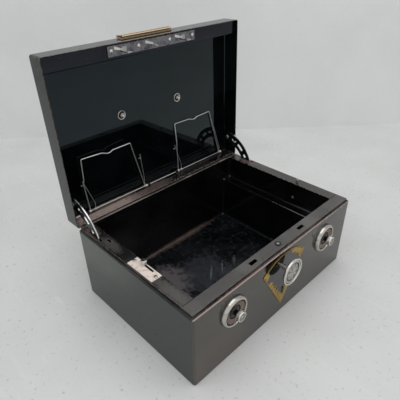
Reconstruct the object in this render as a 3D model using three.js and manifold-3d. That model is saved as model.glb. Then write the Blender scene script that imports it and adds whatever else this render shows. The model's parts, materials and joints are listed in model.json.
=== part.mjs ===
// A sheet-steel strongbox for papers and cash, carried by hand, with its lid open.
// Millimetres, +Z up, +X to the right of someone at the front, the front face towards -Y.
// The origin is the middle of the base, on the surface that the box stands on.
// The lid is built closed, about its hinge line, and its group is then turned open.
import * as THREE from 'three';
import { mergeVertices } from 'three/addons/utils/BufferGeometryUtils.js';
import Module from 'manifold-3d';

const wasm = await Module();
wasm.setup();

// Case
const CASE_WIDTH = 400;
const CASE_DEPTH = 278;
const CASE_HEIGHT = 138;
const SHEET = 1.2;
const CORNER_RADIUS = 4;
const LEDGE = 4;
const FLANGE = 7;
const BACK_FLANGE = 3.5;
const SEAT = 0.3;

// Raised rim and the box inside it
const RIM_RISE = 4.5;
const SIDE_MARGIN = 26;
const FRONT_MARGIN = 24.6;
const BACK_MARGIN = 5;
const BACK_RIM_GAP = 1.3;
const LINER_SHEET = 1;
const STEP_WIDTH = 20;
const STEP_DROP = 43;

// Lid and its hinge
const LID_OPEN_DEG = 91;
const LID_DEPTH = 34;
const LIP_GAP = 2;
const HINGE_SETBACK = 1;
const KNUCKLE_RADIUS = 2;
const KNUCKLE_BORE = 1.15;
const HINGE_PIN_RADIUS = 0.9;
const HINGE_LENGTH = 380;
const KNUCKLE_COUNT = 7;
const LEAF_SHEET = 1;
const LEAF_HEIGHT = 26;
const CHANNEL_WIDTH = 23.5;
const CHANNEL_RECESS = 6.8;
const CHANNEL_LEG = 12;
const CHANNEL_RETURN = 4;

// Strike plate, hooks and the rim openings that they enter
const STRIKE_LENGTH = 181;
const STRIKE_WIDTH = 16;
const STRIKE_THICK = 1.3;
const STRIKE_INSET = 4;
const STRIKE_RIVET_XS = [-84.5, -32.5, 32.5, 84.5];
const RIVET_HEAD_RADIUS = 2.8;
const RIVET_HEAD_HEIGHT = 1.3;
const HOOK_X = 61.5;
const HOOK_SETBACK = 14.5;
const HOOK_WIDTH = 9;
const HOOK_THICK = 2;
const HOOK_REACH = 16;
const HOOK_FOOT = 7;
const HOOK_TOE = 2.3;
const HOOK_NOTCH = 3.7;
const HOOK_NOTCH_DEPTH = 4.7;
const HOOK_HOLE_LENGTH = 15.5;
const HOOK_HOLE_WIDTH = 6.4;
const TONGUE_WIDTH = 12;

// Auto-lock button in the front rim
const BUTTON_RADIUS = 3.2;
const BUTTON_RISE = 1.1;
const BUTTON_TRAVEL = 2.2;
const BUTTON_STEM_RADIUS = 1.6;
const GUIDE_WALL = 0.8;
const GUIDE_FLANGE_RADIUS = 5.4;
const GUIDE_DEPTH = 11;

// Lock case, bolt and centre knob
const LOCK_CASE_HALF = 80;
const LOCK_CASE_DROP = 46;
const LOCK_CASE_DEPTH = 19.8;
const LOCK_SHEET = 1.2;
const BOLT_TRAVEL = 5;
const BOLT_HEIGHT = 10;
const BOLT_DROP = 26;
const BOLT_THICK = 2;
const FINGER_WIDTH = 4.2;
const NOSE_LENGTH = 4.5;
const BOLT_POST_RADIUS = 2;
const BOLT_POST_X = 36;
const KNOB_TURN_DEG = 45;
const CENTRE_KNOB_DROP = 34;
const CENTRE_KNOB_RADIUS = 23.8;
const CENTRE_KNOB_REACH = 19.8;
const CENTRE_KNOB_THICK = 5.8;
const CENTRE_STEM_RADIUS = 4;
const CRANK_RADIUS = 10;
const CRANK_THICK = 2;
const CRANK_PIN_RADIUS = 1.5;
const FORK_PLAY = 0.4;

// Shield and key lock
const SHIELD_X = 2;
const SHIELD_HALF_WIDTH = 54.3;
const SHIELD_TIP_BELOW = 83;
const SHIELD_SHOULDER_ABOVE = 8;
const SHIELD_CROWN_ABOVE = 28;
const SHIELD_BROW = 22;
const SHIELD_BROW_DIP = 3;
const SHIELD_CROWN_HALF = 18;
const SHIELD_THICK = 1;
const KEYHOLE_X = 3;
const KEYHOLE_BELOW = 46.5;
const KEYHOLE_RADIUS = 2.7;
const KEYHOLE_SLOT = 3;
const KEYHOLE_DROP = 11.5;
const KEY_CASE_WIDTH = 50;
const KEY_CASE_BELOW = 27.5;
const KEY_CASE_HEIGHT = 48;
const KEY_CASE_DEPTH = 13.6;
const KEY_POST_RADIUS = 1.5;
const KEY_BOLT_WIDTH = 10;
const KEY_BOLT_THICK = 2.5;
const KEY_BOLT_OFFSET = 10;
const KEY_BOLT_REST = 6;

// Combination dials
const DIAL_INSET = 80;
const DIAL_DROP = 41.5;
const DIAL_RING_RADIUS = 26.5;
const DIAL_RING_INNER = 21;
const DIAL_RING_FOOT = 22.6;
const DIAL_RING_HEIGHT = 7;
const DIAL_FACE_THICK = 1.4;
const DIAL_KNOB_RADIUS = 8.5;
const DIAL_KNOB_HEAD = 8;
const DIAL_KNOB_NECK = 4.5;
const DIAL_KNOB_FOOT = 7;
const DIAL_KNOB_REACH = 18;
const SPINDLE_RADIUS = 3;
const SPINDLE_DEPTH = 10;
const TUMBLER_RADIUS = 20;
const TUMBLER_THICK = 2;
const TUMBLER_NOTCH = 6;
const BUSH_RADIUS = 8;
const BUSH_LENGTH = 3;
const RUNNING = 0.4;

// Stays that hold the lid open, one on each side
const STAY_INSET = 9.4;
const STAY_THICK = 2;
const STAY_RIVET_BACK = 39.3;
const STAY_RIVET_UP = 15.5;
const STAY_ARC = 63.4;
const STAY_OUTER = 76.3;
const STAY_INNER_HEAD = 53;
const STAY_INNER_TIP = 56;
const STAY_HEAD_DEG = 94.6;
const STAY_HEAD_LEAD = 6;
const STAY_TIP_DEG = 170;
const STAY_RETURN = 0.35;
const STAY_SLOT_WIDTH = 5.4;
const STAY_SLOTS_DEG = [[110, 115.5], [126, 136.5], [148.5, 151]];
const STAY_SLOT_ARC = 65;
const STAY_RIVET_RADIUS = 2.4;
const STAY_PLAY = 0.7;

// Bails on the lid that hold papers
const BAIL_WIRE = 1;
const BAIL_PIVOT_BACK = 4.8;
const BAIL_PIVOT_UP = 26;
const BAIL_HEIGHT = 100.4;
const BAIL_FOOT_SPAN = 122;
const BAIL_TOP_SPAN = 96;
const BAIL_STUB = 13;
const BAIL_BEND = 3;
const BAIL_LEFT_INSET = 43;
const BAIL_RIGHT_INSET = 147;
const BAIL_CORNER_UPS = [[27.5, 21.5], [31, 31]];
const BAIL_DIP_START = 36;
const BAIL_DIP_LENGTH = 24;
const BAIL_DIP = 3.5;
const BAIL_STRIP_UPS = [22, 30];
const BAIL_EYE_OFFSET = 7;
const BAIL_EYE_WIDTH = 6;
const BAIL_EYE_HALF = 2.4;

// Carry handle on top of the lid, with its nuts inside
const HANDLE_X = 64;
const HANDLE_SETBACK = 155;
const HANDLE_ROD = 3;
const HANDLE_DROP = 36;
const HANDLE_BEND = 9;
const HANDLE_GRIP_RADIUS = 6;
const HANDLE_GRIP_LENGTH = 80;
const EAR_HALF = 6;
const EAR_HEIGHT = 12;
const STUD_RADIUS = 2.5;
const STUD_LENGTH = 6.4;
const WASHER_RADIUS = 8;
const WASHER_THICK = 1.4;
const NUT_RADIUS = 4.6;
const NUT_THICK = 2.6;

// Pull on the front of the lid
const PULL_HALF = 54;
const PULL_UPS = [20.5, 33];
const PULL_SHEET = 0.8;
const PULL_EAR = 2.6;
const PULL_PIVOT_UP = 31.2;
const PULL_PIVOT_OUT = 2.6;
const PULL_BARREL = 1.4;
const PULL_PIN = 0.6;
const PULL_WEB = 9;
const PULL_WEB_THICK = 1.4;
const PULL_ROLL = 1.5;

// Switch on the left rim
const SWITCH_INSET = 15;
const SWITCH_WIDTH = 19;
const SWITCH_YS = [-51, 7];
const SWITCH_THICK = 1;
const SWITCH_SLOT_INSET = 21;
const SWITCH_REST_Y = -14;
const SWITCH_TRAVEL = 20;
const SWITCH_POST_RADIUS = 1.5;
const SWITCH_HEAD_RADIUS = 4.3;
const SWITCH_HEAD_HEIGHT = 3;
const SWITCH_STAND = 4;
const SWITCH_SCREW_INSET = 16;
const SWITCH_SCREW_MARGIN = 4;
const SCREW_HEAD_RADIUS = 3.2;
const SCREW_RADIUS = 1.6;
const RIM_HOLE_INSET = 18;
const RIM_HOLE_SETBACK = 65.5;
const RIM_HOLE_SIZE = [3.8, 11];

// Sprung plunger in the right rim
const PLUNGER_INSET = 16.6;
const PLUNGER_Y = -35.7;
const PLUNGER_RADIUS = 2;
const PLUNGER_HEAD_RADIUS = 3.3;
const PLUNGER_HEAD_HEIGHT = 3.3;
const PLUNGER_STAND = 4.5;
const PLUNGER_COLLAR_RADIUS = 4;
const PLUNGER_COLLAR_THICK = 1.6;
const PLUNGER_TAIL = 10;
const BRACKET_HEIGHT = 17;
const BRACKET_DROP = 18;
const BRACKET_WIDTH = 19;
const PLUNGER_COIL_RADIUS = 3.1;
const PLUNGER_COIL_WIRE = 0.5;
const PLUNGER_COIL_TURNS = 5;
const BUTTON_COIL_RADIUS = 2.65;
const BUTTON_COIL_WIRE = 0.35;
const BUTTON_COIL_TURNS = 4;

// Alarm bell in the left wall
const BELL_Y = -28;
const BELL_DROP = 50;
const BELL_RADIUS = 26;
const BELL_DEPTH = 12;
const BELL_WALL = 1.4;
const BELL_STAND = 18;
const BELL_POST_RADIUS = 2.5;
const BELL_PLATE_YS = [-60, 45];
const BELL_PLATE_BELOW = 30;
const BELL_PLATE_ABOVE = 32;
const HAMMER_Y = 30;
const HAMMER_ABOVE = 14;
const HAMMER_PIVOT_RADIUS = 1.8;
const HAMMER_HEAD_RADIUS = 3.2;
const HAMMER_GAP = 1.3;
const HAMMER_TAIL = 28;
const HAMMER_THICK = 3;

// Places worked out from the sizes above
const halfWidth = CASE_WIDTH / 2;
const stepHeight = CASE_HEIGHT - STEP_DROP;
const dialX = halfWidth - DIAL_INSET;
const dialZ = CASE_HEIGHT - DIAL_DROP;
const centreKnobZ = CASE_HEIGHT - CENTRE_KNOB_DROP;
const keyholeZ = centreKnobZ - KEYHOLE_BELOW;
const keyCaseBase = keyholeZ - KEY_CASE_BELOW;
const boltBase = CASE_HEIGHT - BOLT_DROP;
const lockCaseBase = CASE_HEIGHT - LOCK_CASE_DROP;
const stayX = halfWidth - STAY_INSET;
const bailXs = [-halfWidth + BAIL_LEFT_INSET, halfWidth - BAIL_RIGHT_INSET];
const switchX = -halfWidth + SWITCH_INSET;
const switchSlotX = -halfWidth + SWITCH_SLOT_INSET;
const switchScrewX = -halfWidth + SWITCH_SCREW_INSET;
const rimHoleX = -halfWidth + RIM_HOLE_INSET;
const plungerX = halfWidth - PLUNGER_INSET;
const bracketTop = CASE_HEIGHT - BRACKET_DROP;
const bracketBase = bracketTop - BRACKET_HEIGHT;
const bellZ = CASE_HEIGHT - BELL_DROP;
const hammerZ = bellZ + HAMMER_ABOVE;
const frontY = -CASE_DEPTH / 2;
const backY = CASE_DEPTH / 2;
const rimTop = CASE_HEIGHT + RIM_RISE;
const rimUnder = rimTop - SHEET;
const rimHalf = halfWidth - LEDGE;
const rimFront = frontY + LEDGE;
const rimBack = backY - BACK_RIM_GAP;
const linerHalf = halfWidth - SIDE_MARGIN;
const linerFront = frontY + FRONT_MARGIN;
const linerBack = backY - BACK_MARGIN;
const linerTop = rimUnder - SEAT;
const floorUnder = SHEET + SEAT;
const floorTop = floorUnder + LINER_SHEET;
const hingeY = backY + HINGE_SETBACK;
const lidLength = CASE_DEPTH + HINGE_SETBACK;
const rimHoleY = backY - RIM_HOLE_SETBACK;
const hingeZ = CASE_HEIGHT + LIP_GAP;
const lidOpen = THREE.MathUtils.degToRad(LID_OPEN_DEG);
const lidInner = LID_DEPTH - SHEET;
const lidFrontInner = lidLength - SHEET;
const wallInner = frontY + SHEET;
const strikeUp = CHANNEL_RECESS - SEAT - STRIKE_THICK;
const hookBack = lidLength - HOOK_SETBACK;
const hookY = hingeY - hookBack;
const knobTurn = THREE.MathUtils.degToRad(KNOB_TURN_DEG);
const crankPinArc = BOLT_TRAVEL / 2 / Math.sin(knobTurn / 2);

// Colours, with the roughness and metalness of each finish
const finishes = {
  lacquer: { color: 0x1b2022, roughness: 0.16, metalness: 0.1 },
  enamel: { color: 0x9c9d98, roughness: 0.45, metalness: 0.2 },
  nickel: { color: 0xc9cac6, roughness: 0.25, metalness: 1 },
  steel: { color: 0x8f9293, roughness: 0.4, metalness: 1 },
  brass: { color: 0xb9975a, roughness: 0.35, metalness: 1 },
  dial: { color: 0x5a4136, roughness: 0.4, metalness: 0.6 },
};

const box = new THREE.Group();

function addMesh(parent, name, solid, finish) {
  const mesh = new THREE.Mesh(geometryOf(solid), new THREE.MeshStandardMaterial(finishes[finish]));
  mesh.name = name;
  parent.add(mesh);
  return mesh;
}

// Joins and cuts work on closed solids: vertices are merged, needle faces at a pole are
// dropped, and a mesh whose faces point in is turned the right way round.
function solidOf(geometry) {
  const bare = new THREE.BufferGeometry();
  bare.setAttribute('position', geometry.getAttribute('position'));
  if (geometry.index) bare.setIndex(geometry.index);
  const merged = mergeVertices(bare, 1e-4);
  const points = merged.getAttribute('position').array;
  const index = merged.index.array;
  const faces = [];
  let volume = 0;
  for (let i = 0; i < index.length; i += 3) {
    const [a, b, c] = [index[i], index[i + 1], index[i + 2]];
    if (a === b || b === c || c === a) continue;
    const [p, q, r] = [a, b, c].map((k) => new THREE.Vector3().fromArray(points, 3 * k));
    volume += p.dot(q.cross(r));
    faces.push([a, b, c]);
  }
  const turned = volume < 0 ? faces.map(([a, b, c]) => [a, c, b]) : faces;
  return new wasm.Manifold(
    new wasm.Mesh({ numProp: 3, vertProperties: points, triVerts: Uint32Array.from(turned.flat()) }),
  );
}

function geometryOf(solid) {
  const mesh = solid.getMesh();
  const geometry = new THREE.BufferGeometry();
  geometry.setAttribute('position', new THREE.BufferAttribute(mesh.vertProperties, 3));
  geometry.setIndex(new THREE.BufferAttribute(mesh.triVerts, 1));
  geometry.computeVertexNormals();
  return geometry;
}

function joined(...solids) {
  return solids.reduce((whole, piece) => whole.add(piece));
}

function cut(solid, ...tools) {
  return tools.reduce((rest, tool) => rest.subtract(tool), solid);
}

function block(xs, ys, zs) {
  const geometry = new THREE.BoxGeometry(xs[1] - xs[0], ys[1] - ys[0], zs[1] - zs[0]);
  geometry.translate((xs[0] + xs[1]) / 2, (ys[0] + ys[1]) / 2, (zs[0] + zs[1]) / 2);
  return solidOf(geometry);
}

function extruded(shape, from, to, along, curveSegments = 6) {
  const geometry = new THREE.ExtrudeGeometry(shape, { depth: to - from, bevelEnabled: false, curveSegments });
  const x = new THREE.Vector3(1, 0, 0);
  const y = new THREE.Vector3(0, 1, 0);
  const z = new THREE.Vector3(0, 0, 1);
  geometry.translate(0, 0, from);
  if (along === 'x') geometry.applyMatrix4(new THREE.Matrix4().makeBasis(y, z, x));
  if (along === 'y') {
    geometry.translate(0, 0, -from - to);
    geometry.applyMatrix4(new THREE.Matrix4().makeBasis(x, z, y.clone().negate()));
  }
  return solidOf(geometry);
}

function outline(points) {
  return new THREE.Shape(points.map(([u, v]) => new THREE.Vector2(u, v)));
}

function roundedRectangle(us, vs, radius) {
  const shape = new THREE.Shape();
  shape.absarc(us[1] - radius, vs[0] + radius, radius, -Math.PI / 2, 0);
  shape.absarc(us[1] - radius, vs[1] - radius, radius, 0, Math.PI / 2);
  shape.absarc(us[0] + radius, vs[1] - radius, radius, Math.PI / 2, Math.PI);
  shape.absarc(us[0] + radius, vs[0] + radius, radius, Math.PI, 1.5 * Math.PI);
  return shape;
}

// A profile of [radius, height] pairs, turned about an axis: z up, x to the right, or out
// of the front face.
function turnedOn(axis, profile, centre, sides = 24) {
  const points = profile.map(([radius, height]) => new THREE.Vector2(radius, height));
  if (profile[0][0] > 0) points.push(points[0].clone());
  const geometry = new THREE.LatheGeometry(points, sides);
  if (axis === 'z') geometry.rotateX(Math.PI / 2);
  if (axis === 'out') geometry.rotateX(Math.PI);
  if (axis === 'x') geometry.rotateZ(-Math.PI / 2);
  geometry.translate(...centre);
  return solidOf(geometry);
}

function rod(axis, radius, from, to, centre, sides = 16) {
  return turnedOn(axis, [[0, from], [radius, from], [radius, to], [0, to]], centre, sides);
}

function dome(radius, base, height) {
  return [
    [radius, base],
    [radius * 0.92, base + height * 0.45],
    [radius * 0.6, base + height * 0.85],
    [0, base + height],
  ];
}

// A curve through a list of points, with one ring of the swept tube at each point.
class Chain extends THREE.Curve {
  constructor(points) {
    super();
    this.points = points;
  }
  getPoint(t) {
    return this.points[Math.round(t * (this.points.length - 1))].clone();
  }
  getPointAt(u) {
    return this.getPoint(u);
  }
  getTangentAt(u) {
    const last = this.points.length - 1;
    const i = Math.round(u * last);
    const before = this.points[Math.max(i - 1, 0)];
    const after = this.points[Math.min(i + 1, last)];
    return after.clone().sub(before).normalize();
  }
}

function tube(points, radius, sides) {
  const section = [];
  for (let i = 0; i < sides; i += 1) {
    const angle = (2 * Math.PI * i) / sides;
    section.push([radius * Math.cos(angle), radius * Math.sin(angle)]);
  }
  const geometry = new THREE.ExtrudeGeometry(outline(section), {
    steps: points.length - 1,
    bevelEnabled: false,
    extrudePath: new Chain(points),
  });
  return solidOf(geometry);
}

// Wire bent round its corners: each inner corner becomes an arc of three short runs.
function bentWire(corners, bend, radius, sides = 8) {
  const points = [corners[0]];
  for (let i = 1; i < corners.length - 1; i += 1) {
    const into = corners[i].clone().sub(corners[i - 1]);
    const out = corners[i + 1].clone().sub(corners[i]);
    const reach = Math.min(bend, into.length() * 0.45, out.length() * 0.45);
    const start = corners[i].clone().addScaledVector(into.normalize(), -reach);
    const end = corners[i].clone().addScaledVector(out.normalize(), reach);
    const arc = new THREE.QuadraticBezierCurve3(start, corners[i], end);
    points.push(...arc.getPoints(3));
  }
  points.push(corners[corners.length - 1]);
  return tube(points, radius, sides);
}

function coil(centreRadius, wire, turns, base, top) {
  const steps = 8 * turns;
  const points = [];
  for (let i = 0; i <= steps; i += 1) {
    const angle = (2 * Math.PI * i) / 8;
    const height = base + wire + ((top - base - 2 * wire) * i) / steps;
    points.push(new THREE.Vector3(centreRadius * Math.cos(angle), centreRadius * Math.sin(angle), height));
  }
  return tube(points, wire, 5);
}

// Case: four walls and a base in one pressing, with a flange turned in round the mouth
function bodyShell() {
  const outer = roundedRectangle([-halfWidth, halfWidth], [frontY, backY], CORNER_RADIUS);
  const inner = roundedRectangle(
    [-halfWidth + SHEET, halfWidth - SHEET],
    [frontY + SHEET, backY - SHEET],
    CORNER_RADIUS - SHEET,
  );
  const mouth = [
    [-halfWidth + FLANGE, halfWidth - FLANGE],
    [frontY + FLANGE, backY - BACK_FLANGE],
    [CASE_HEIGHT - 2 * SHEET, CASE_HEIGHT + 1],
  ];
  const wall = [-SHEET - 1, 1];
  const spindleHole = SPINDLE_RADIUS + RUNNING;
  const stemHole = CENTRE_STEM_RADIUS + RUNNING;
  return cut(
    extruded(outer, 0, CASE_HEIGHT, 'z', 3),
    extruded(inner, SHEET, CASE_HEIGHT - SHEET, 'z', 3),
    block(...mouth),
    rod('out', spindleHole, ...wall, [-dialX, frontY, dialZ]),
    rod('out', spindleHole, ...wall, [dialX, frontY, dialZ]),
    rod('out', stemHole, ...wall, [0, frontY, centreKnobZ]),
    keyhole(frontY - 1, frontY + SHEET + 1),
  );
}

function keyhole(fromY, toY) {
  const eye = rod('out', KEYHOLE_RADIUS, -toY, -fromY, [KEYHOLE_X, 0, keyholeZ], 12);
  const slot = block(
    [KEYHOLE_X - KEYHOLE_SLOT / 2, KEYHOLE_X + KEYHOLE_SLOT / 2],
    [fromY, toY],
    [keyholeZ - KEYHOLE_DROP, keyholeZ],
  );
  return joined(eye, slot);
}

// Inner box: a stepped wall on the right leaves a shelf for a tray
function liner() {
  const shell = LINER_SHEET;
  const ys = [linerFront, linerBack];
  const outerYs = [ys[0] - shell, ys[1] + shell];
  const stepX = linerHalf - STEP_WIDTH;
  const above = linerTop + 1;
  const outside = joined(
    block([-linerHalf - shell, stepX + shell], outerYs, [floorUnder, linerTop]),
    block([stepX, linerHalf + shell], outerYs, [stepHeight - shell, linerTop]),
  );
  const inside = joined(
    block([-linerHalf, stepX], ys, [floorTop, above]),
    block([stepX - 1, linerHalf], ys, [stepHeight, above]),
  );
  const rivetZ = bracketBase + BRACKET_HEIGHT / 2;
  const rivetHole = rod('x', 2.3, -shell - 1, 2, [linerHalf + shell, PLUNGER_Y, rivetZ], 12);
  return cut(outside, inside, rivetHole);
}

// Rim: four folded strips that stand on the case's flange and cap the inner box
function rimStrip(xs, ys, skirts) {
  const plate = block(xs, ys, [rimUnder, rimTop]);
  const foot = CASE_HEIGHT + SEAT;
  const walls = skirts.map(([skirtXs, skirtYs]) => block(skirtXs, skirtYs, [foot, rimUnder + SHEET / 2]));
  return joined(plate, ...walls);
}

function rimFrontStrip() {
  const ys = [rimFront, linerFront];
  const strip = rimStrip([-rimHalf, rimHalf], ys, [
    [[-rimHalf, rimHalf], [rimFront, rimFront + SHEET]],
    [[-rimHalf, -rimHalf + SHEET], ys],
    [[rimHalf - SHEET, rimHalf], ys],
  ]);
  const depth = [rimUnder - 1, rimTop + 1];
  const hookHoles = [-HOOK_X, HOOK_X].map((x) =>
    block(
      [x - HOOK_HOLE_LENGTH / 2, x + HOOK_HOLE_LENGTH / 2],
      [hookY - HOOK_HOLE_WIDTH / 2, hookY + HOOK_HOLE_WIDTH / 2],
      depth,
    ),
  );
  const guideHole = rod('z', BUTTON_RADIUS + RUNNING + GUIDE_WALL + SEAT, ...depth, [0, hookY, 0], 20);
  return cut(strip, ...hookHoles, guideHole);
}

function rimSideStrip(side) {
  const outer = side * rimHalf;
  const xs = [outer, side * linerHalf].sort((a, b) => a - b);
  const skirtXs = [outer, outer - side * SHEET].sort((a, b) => a - b);
  const ys = [linerFront + SEAT, linerBack - SEAT];
  const slotX = side * stayX;
  const slotHalf = STAY_THICK / 2 + STAY_PLAY;
  const depth = [rimUnder - 1, rimTop + 1];
  const staySlot = block([slotX - slotHalf, slotX + slotHalf], staySlotYs(), depth);
  return cut(rimStrip(xs, ys, [[skirtXs, ys]]), staySlot);
}

function rimLeftStrip() {
  const depth = [rimUnder - 1, rimTop + 1];
  const hole = block(
    [rimHoleX - RIM_HOLE_SIZE[0] / 2, rimHoleX + RIM_HOLE_SIZE[0] / 2],
    [rimHoleY - RIM_HOLE_SIZE[1] / 2, rimHoleY + RIM_HOLE_SIZE[1] / 2],
    depth,
  );
  return cut(rimSideStrip(-1), hole, switchSlot(depth), ...switchScrewHoles(depth));
}

function rimRightStrip() {
  const hole = rod('z', PLUNGER_RADIUS + RUNNING, rimUnder - 1, rimTop + 1, [plungerX, PLUNGER_Y, 0]);
  return cut(rimSideStrip(1), hole);
}

function rimBackStrip() {
  const xs = [-rimHalf, rimHalf];
  return rimStrip(xs, [linerBack, rimBack], [[xs, [rimBack - SHEET, rimBack]]]);
}

// A point of the lid, given by its distances from the hinge line, as [y, z] of the case
function lidPoint(back, up, open) {
  return [
    hingeY - back * Math.cos(open) + up * Math.sin(open),
    hingeZ + back * Math.sin(open) + up * Math.cos(open),
  ];
}

// The stay's arc centre and turn when the lid stands at an angle of its travel
function stayAt(open) {
  const [y, z] = lidPoint(STAY_RIVET_BACK, STAY_RIVET_UP, open);
  const turn = (lidOpen - open) * (1 - STAY_RETURN);
  const head = THREE.MathUtils.degToRad(STAY_HEAD_DEG) + turn;
  return { y: y - STAY_ARC * Math.cos(head), z: z - STAY_ARC * Math.sin(head), turn };
}

// The rim slot covers the stay's path through the rim, from open to closed
function staySlotYs() {
  const ys = [];
  const steps = 30;
  for (let i = 0; i <= steps; i += 1) {
    const stay = stayAt((lidOpen * i) / steps);
    for (const radius of [STAY_INNER_HEAD, STAY_OUTER]) {
      for (const z of [rimUnder, rimTop]) {
        const rise = z - stay.z;
        if (Math.abs(rise) < radius) ys.push(stay.y - Math.sqrt(radius * radius - rise * rise));
      }
    }
  }
  return [Math.min(...ys) - 1, Math.max(...ys) + 1];
}

function stayArm() {
  const { y, z } = stayAt(lidOpen);
  const lead = STAY_HEAD_LEAD / STAY_ARC;
  const head = THREE.MathUtils.degToRad(STAY_HEAD_DEG) + lead;
  const tip = THREE.MathUtils.degToRad(STAY_TIP_DEG);
  const at = (radius, angle) => [y + radius * Math.cos(angle), z + radius * Math.sin(angle)];
  const steps = 10;
  const edge = (radiusAt) => {
    const points = [];
    for (let i = 0; i <= steps; i += 1) {
      const share = i / steps;
      points.push(at(radiusAt(share), head + (tip - head) * share));
    }
    return points;
  };
  const outer = edge(() => STAY_OUTER);
  const inner = edge((share) => THREE.MathUtils.lerp(STAY_INNER_HEAD, STAY_INNER_TIP, share));
  const half = STAY_THICK / 2;
  const blade = extruded(outline([...outer, ...inner.reverse()]), stayX - half, stayX + half, 'x');
  const [rivetY, rivetZ] = lidPoint(STAY_RIVET_BACK, STAY_RIVET_UP, lidOpen);
  const [endY, endZ] = at((STAY_OUTER + STAY_INNER_HEAD) / 2, head);
  const endRadius = (STAY_OUTER - STAY_INNER_HEAD) / 2;
  const end = rod('x', endRadius, -half, half, [stayX, endY, endZ], 20);
  const bore = rod('x', STAY_RIVET_RADIUS + RUNNING, -half - 1, half + 1, [stayX, rivetY, rivetZ], 12);
  const slots = STAY_SLOTS_DEG.map((ends) => {
    const [from, to] = ends.map((deg) => THREE.MathUtils.degToRad(deg));
    const shape = new THREE.Shape();
    const wide = STAY_SLOT_WIDTH / 2;
    shape.absarc(y, z, STAY_SLOT_ARC + wide, from, to, false);
    shape.absarc(...at(STAY_SLOT_ARC, to), wide, to, to + Math.PI, false);
    shape.absarc(y, z, STAY_SLOT_ARC - wide, to, from, true);
    shape.absarc(...at(STAY_SLOT_ARC, from), wide, from + Math.PI, from + 2 * Math.PI, false);
    return extruded(shape, stayX - STAY_THICK, stayX + STAY_THICK, 'x', 3);
  });
  return cut(joined(blade, end), bore, ...slots);
}

function mirrored(solid) {
  const geometry = geometryOf(solid);
  geometry.scale(-1, 1, 1);
  return solidOf(geometry);
}

addMesh(box, 'body_shell', bodyShell(), 'lacquer');
addMesh(box, 'liner', liner(), 'lacquer');
addMesh(box, 'rim_front', rimFrontStrip(), 'enamel');
addMesh(box, 'rim_left', rimLeftStrip(), 'enamel');
addMesh(box, 'rim_right', rimRightStrip(), 'enamel');
addMesh(box, 'rim_back', rimBackStrip(), 'enamel');
addMesh(box, 'stay_right', stayArm(), 'steel');
addMesh(box, 'stay_left', mirrored(stayArm()), 'steel');

// Hinge: two leaves outside the back, with knuckles that take turns along one pin
const hinge = new THREE.Group();
hinge.position.set(0, hingeY, hingeZ);
box.add(hinge);
const lid = new THREE.Group();
lid.position.set(0, hingeY, hingeZ);
lid.rotation.x = -lidOpen;
box.add(lid);

function knuckleSpans(first) {
  const pitch = HINGE_LENGTH / KNUCKLE_COUNT;
  const spans = [];
  for (let i = first; i < KNUCKLE_COUNT; i += 2) {
    const from = -HINGE_LENGTH / 2 + pitch * i;
    spans.push([from + RUNNING / 2, from + pitch - RUNNING / 2]);
  }
  return spans;
}

function hingeLeaf(plate, own, other) {
  const knuckles = own.map(([from, to]) => rod('x', KNUCKLE_RADIUS, from, to, [0, 0, 0], 10));
  const clearances = other.map(([from, to]) =>
    rod('x', KNUCKLE_RADIUS + RUNNING, from - RUNNING, to + RUNNING, [0, 0, 0], 10),
  );
  const half = HINGE_LENGTH / 2 + 1;
  const bore = rod('x', KNUCKLE_BORE, -half, half, [0, 0, 0], 10);
  return cut(joined(cut(plate, ...clearances), ...knuckles), bore);
}

const leafXs = [-HINGE_LENGTH / 2 + RUNNING, HINGE_LENGTH / 2 - RUNNING];
const leafTop = KNUCKLE_RADIUS - 0.7;
const bodyLeafY = backY + SEAT - hingeY;
const bodyLeaf = block(leafXs, [bodyLeafY, bodyLeafY + LEAF_SHEET], [-LEAF_HEIGHT, -leafTop]);
const lidLeaf = block(leafXs, [SEAT, SEAT + LEAF_SHEET], [leafTop, LEAF_HEIGHT]);
addMesh(hinge, 'hinge_body_leaf', hingeLeaf(bodyLeaf, knuckleSpans(0), knuckleSpans(1)), 'steel');
addMesh(lid, 'hinge_lid_leaf', hingeLeaf(lidLeaf, knuckleSpans(1), knuckleSpans(0)), 'steel');
const pinHalf = HINGE_LENGTH / 2 + 0.5;
addMesh(hinge, 'hinge_pin', rod('x', HINGE_PIN_RADIUS, -pinHalf, pinHalf, [0, 0, 0], 10), 'steel');

// Lid pieces are placed by x, by the distance back from the hinge line towards the lid's
// front edge, and by the height up from its lip towards its top
function lidBlock(xs, backs, ups) {
  return block(xs, [-backs[1], -backs[0]], ups);
}

function lidShell() {
  const outer = roundedRectangle([-halfWidth, halfWidth], [-lidLength, 0], CORNER_RADIUS);
  const inner = roundedRectangle(
    [-halfWidth + SHEET, halfWidth - SHEET],
    [-lidFrontInner, -SHEET],
    CORNER_RADIUS - SHEET,
  );
  const knuckleRoom = KNUCKLE_RADIUS + 2 * RUNNING;
  const studHole = STUD_RADIUS + RUNNING;
  return cut(
    extruded(outer, 0, LID_DEPTH, 'z', 3),
    extruded(inner, -1, lidInner, 'z', 3),
    lidBlock([-halfWidth - 1, halfWidth + 1], [-1, knuckleRoom], [-1, knuckleRoom]),
    rod('z', studHole, lidInner - 1, LID_DEPTH + 1, [-HANDLE_X, -HANDLE_SETBACK, 0]),
    rod('z', studHole, lidInner - 1, LID_DEPTH + 1, [HANDLE_X, -HANDLE_SETBACK, 0]),
  );
}
addMesh(lid, 'lid_shell', lidShell(), 'lacquer');

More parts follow.
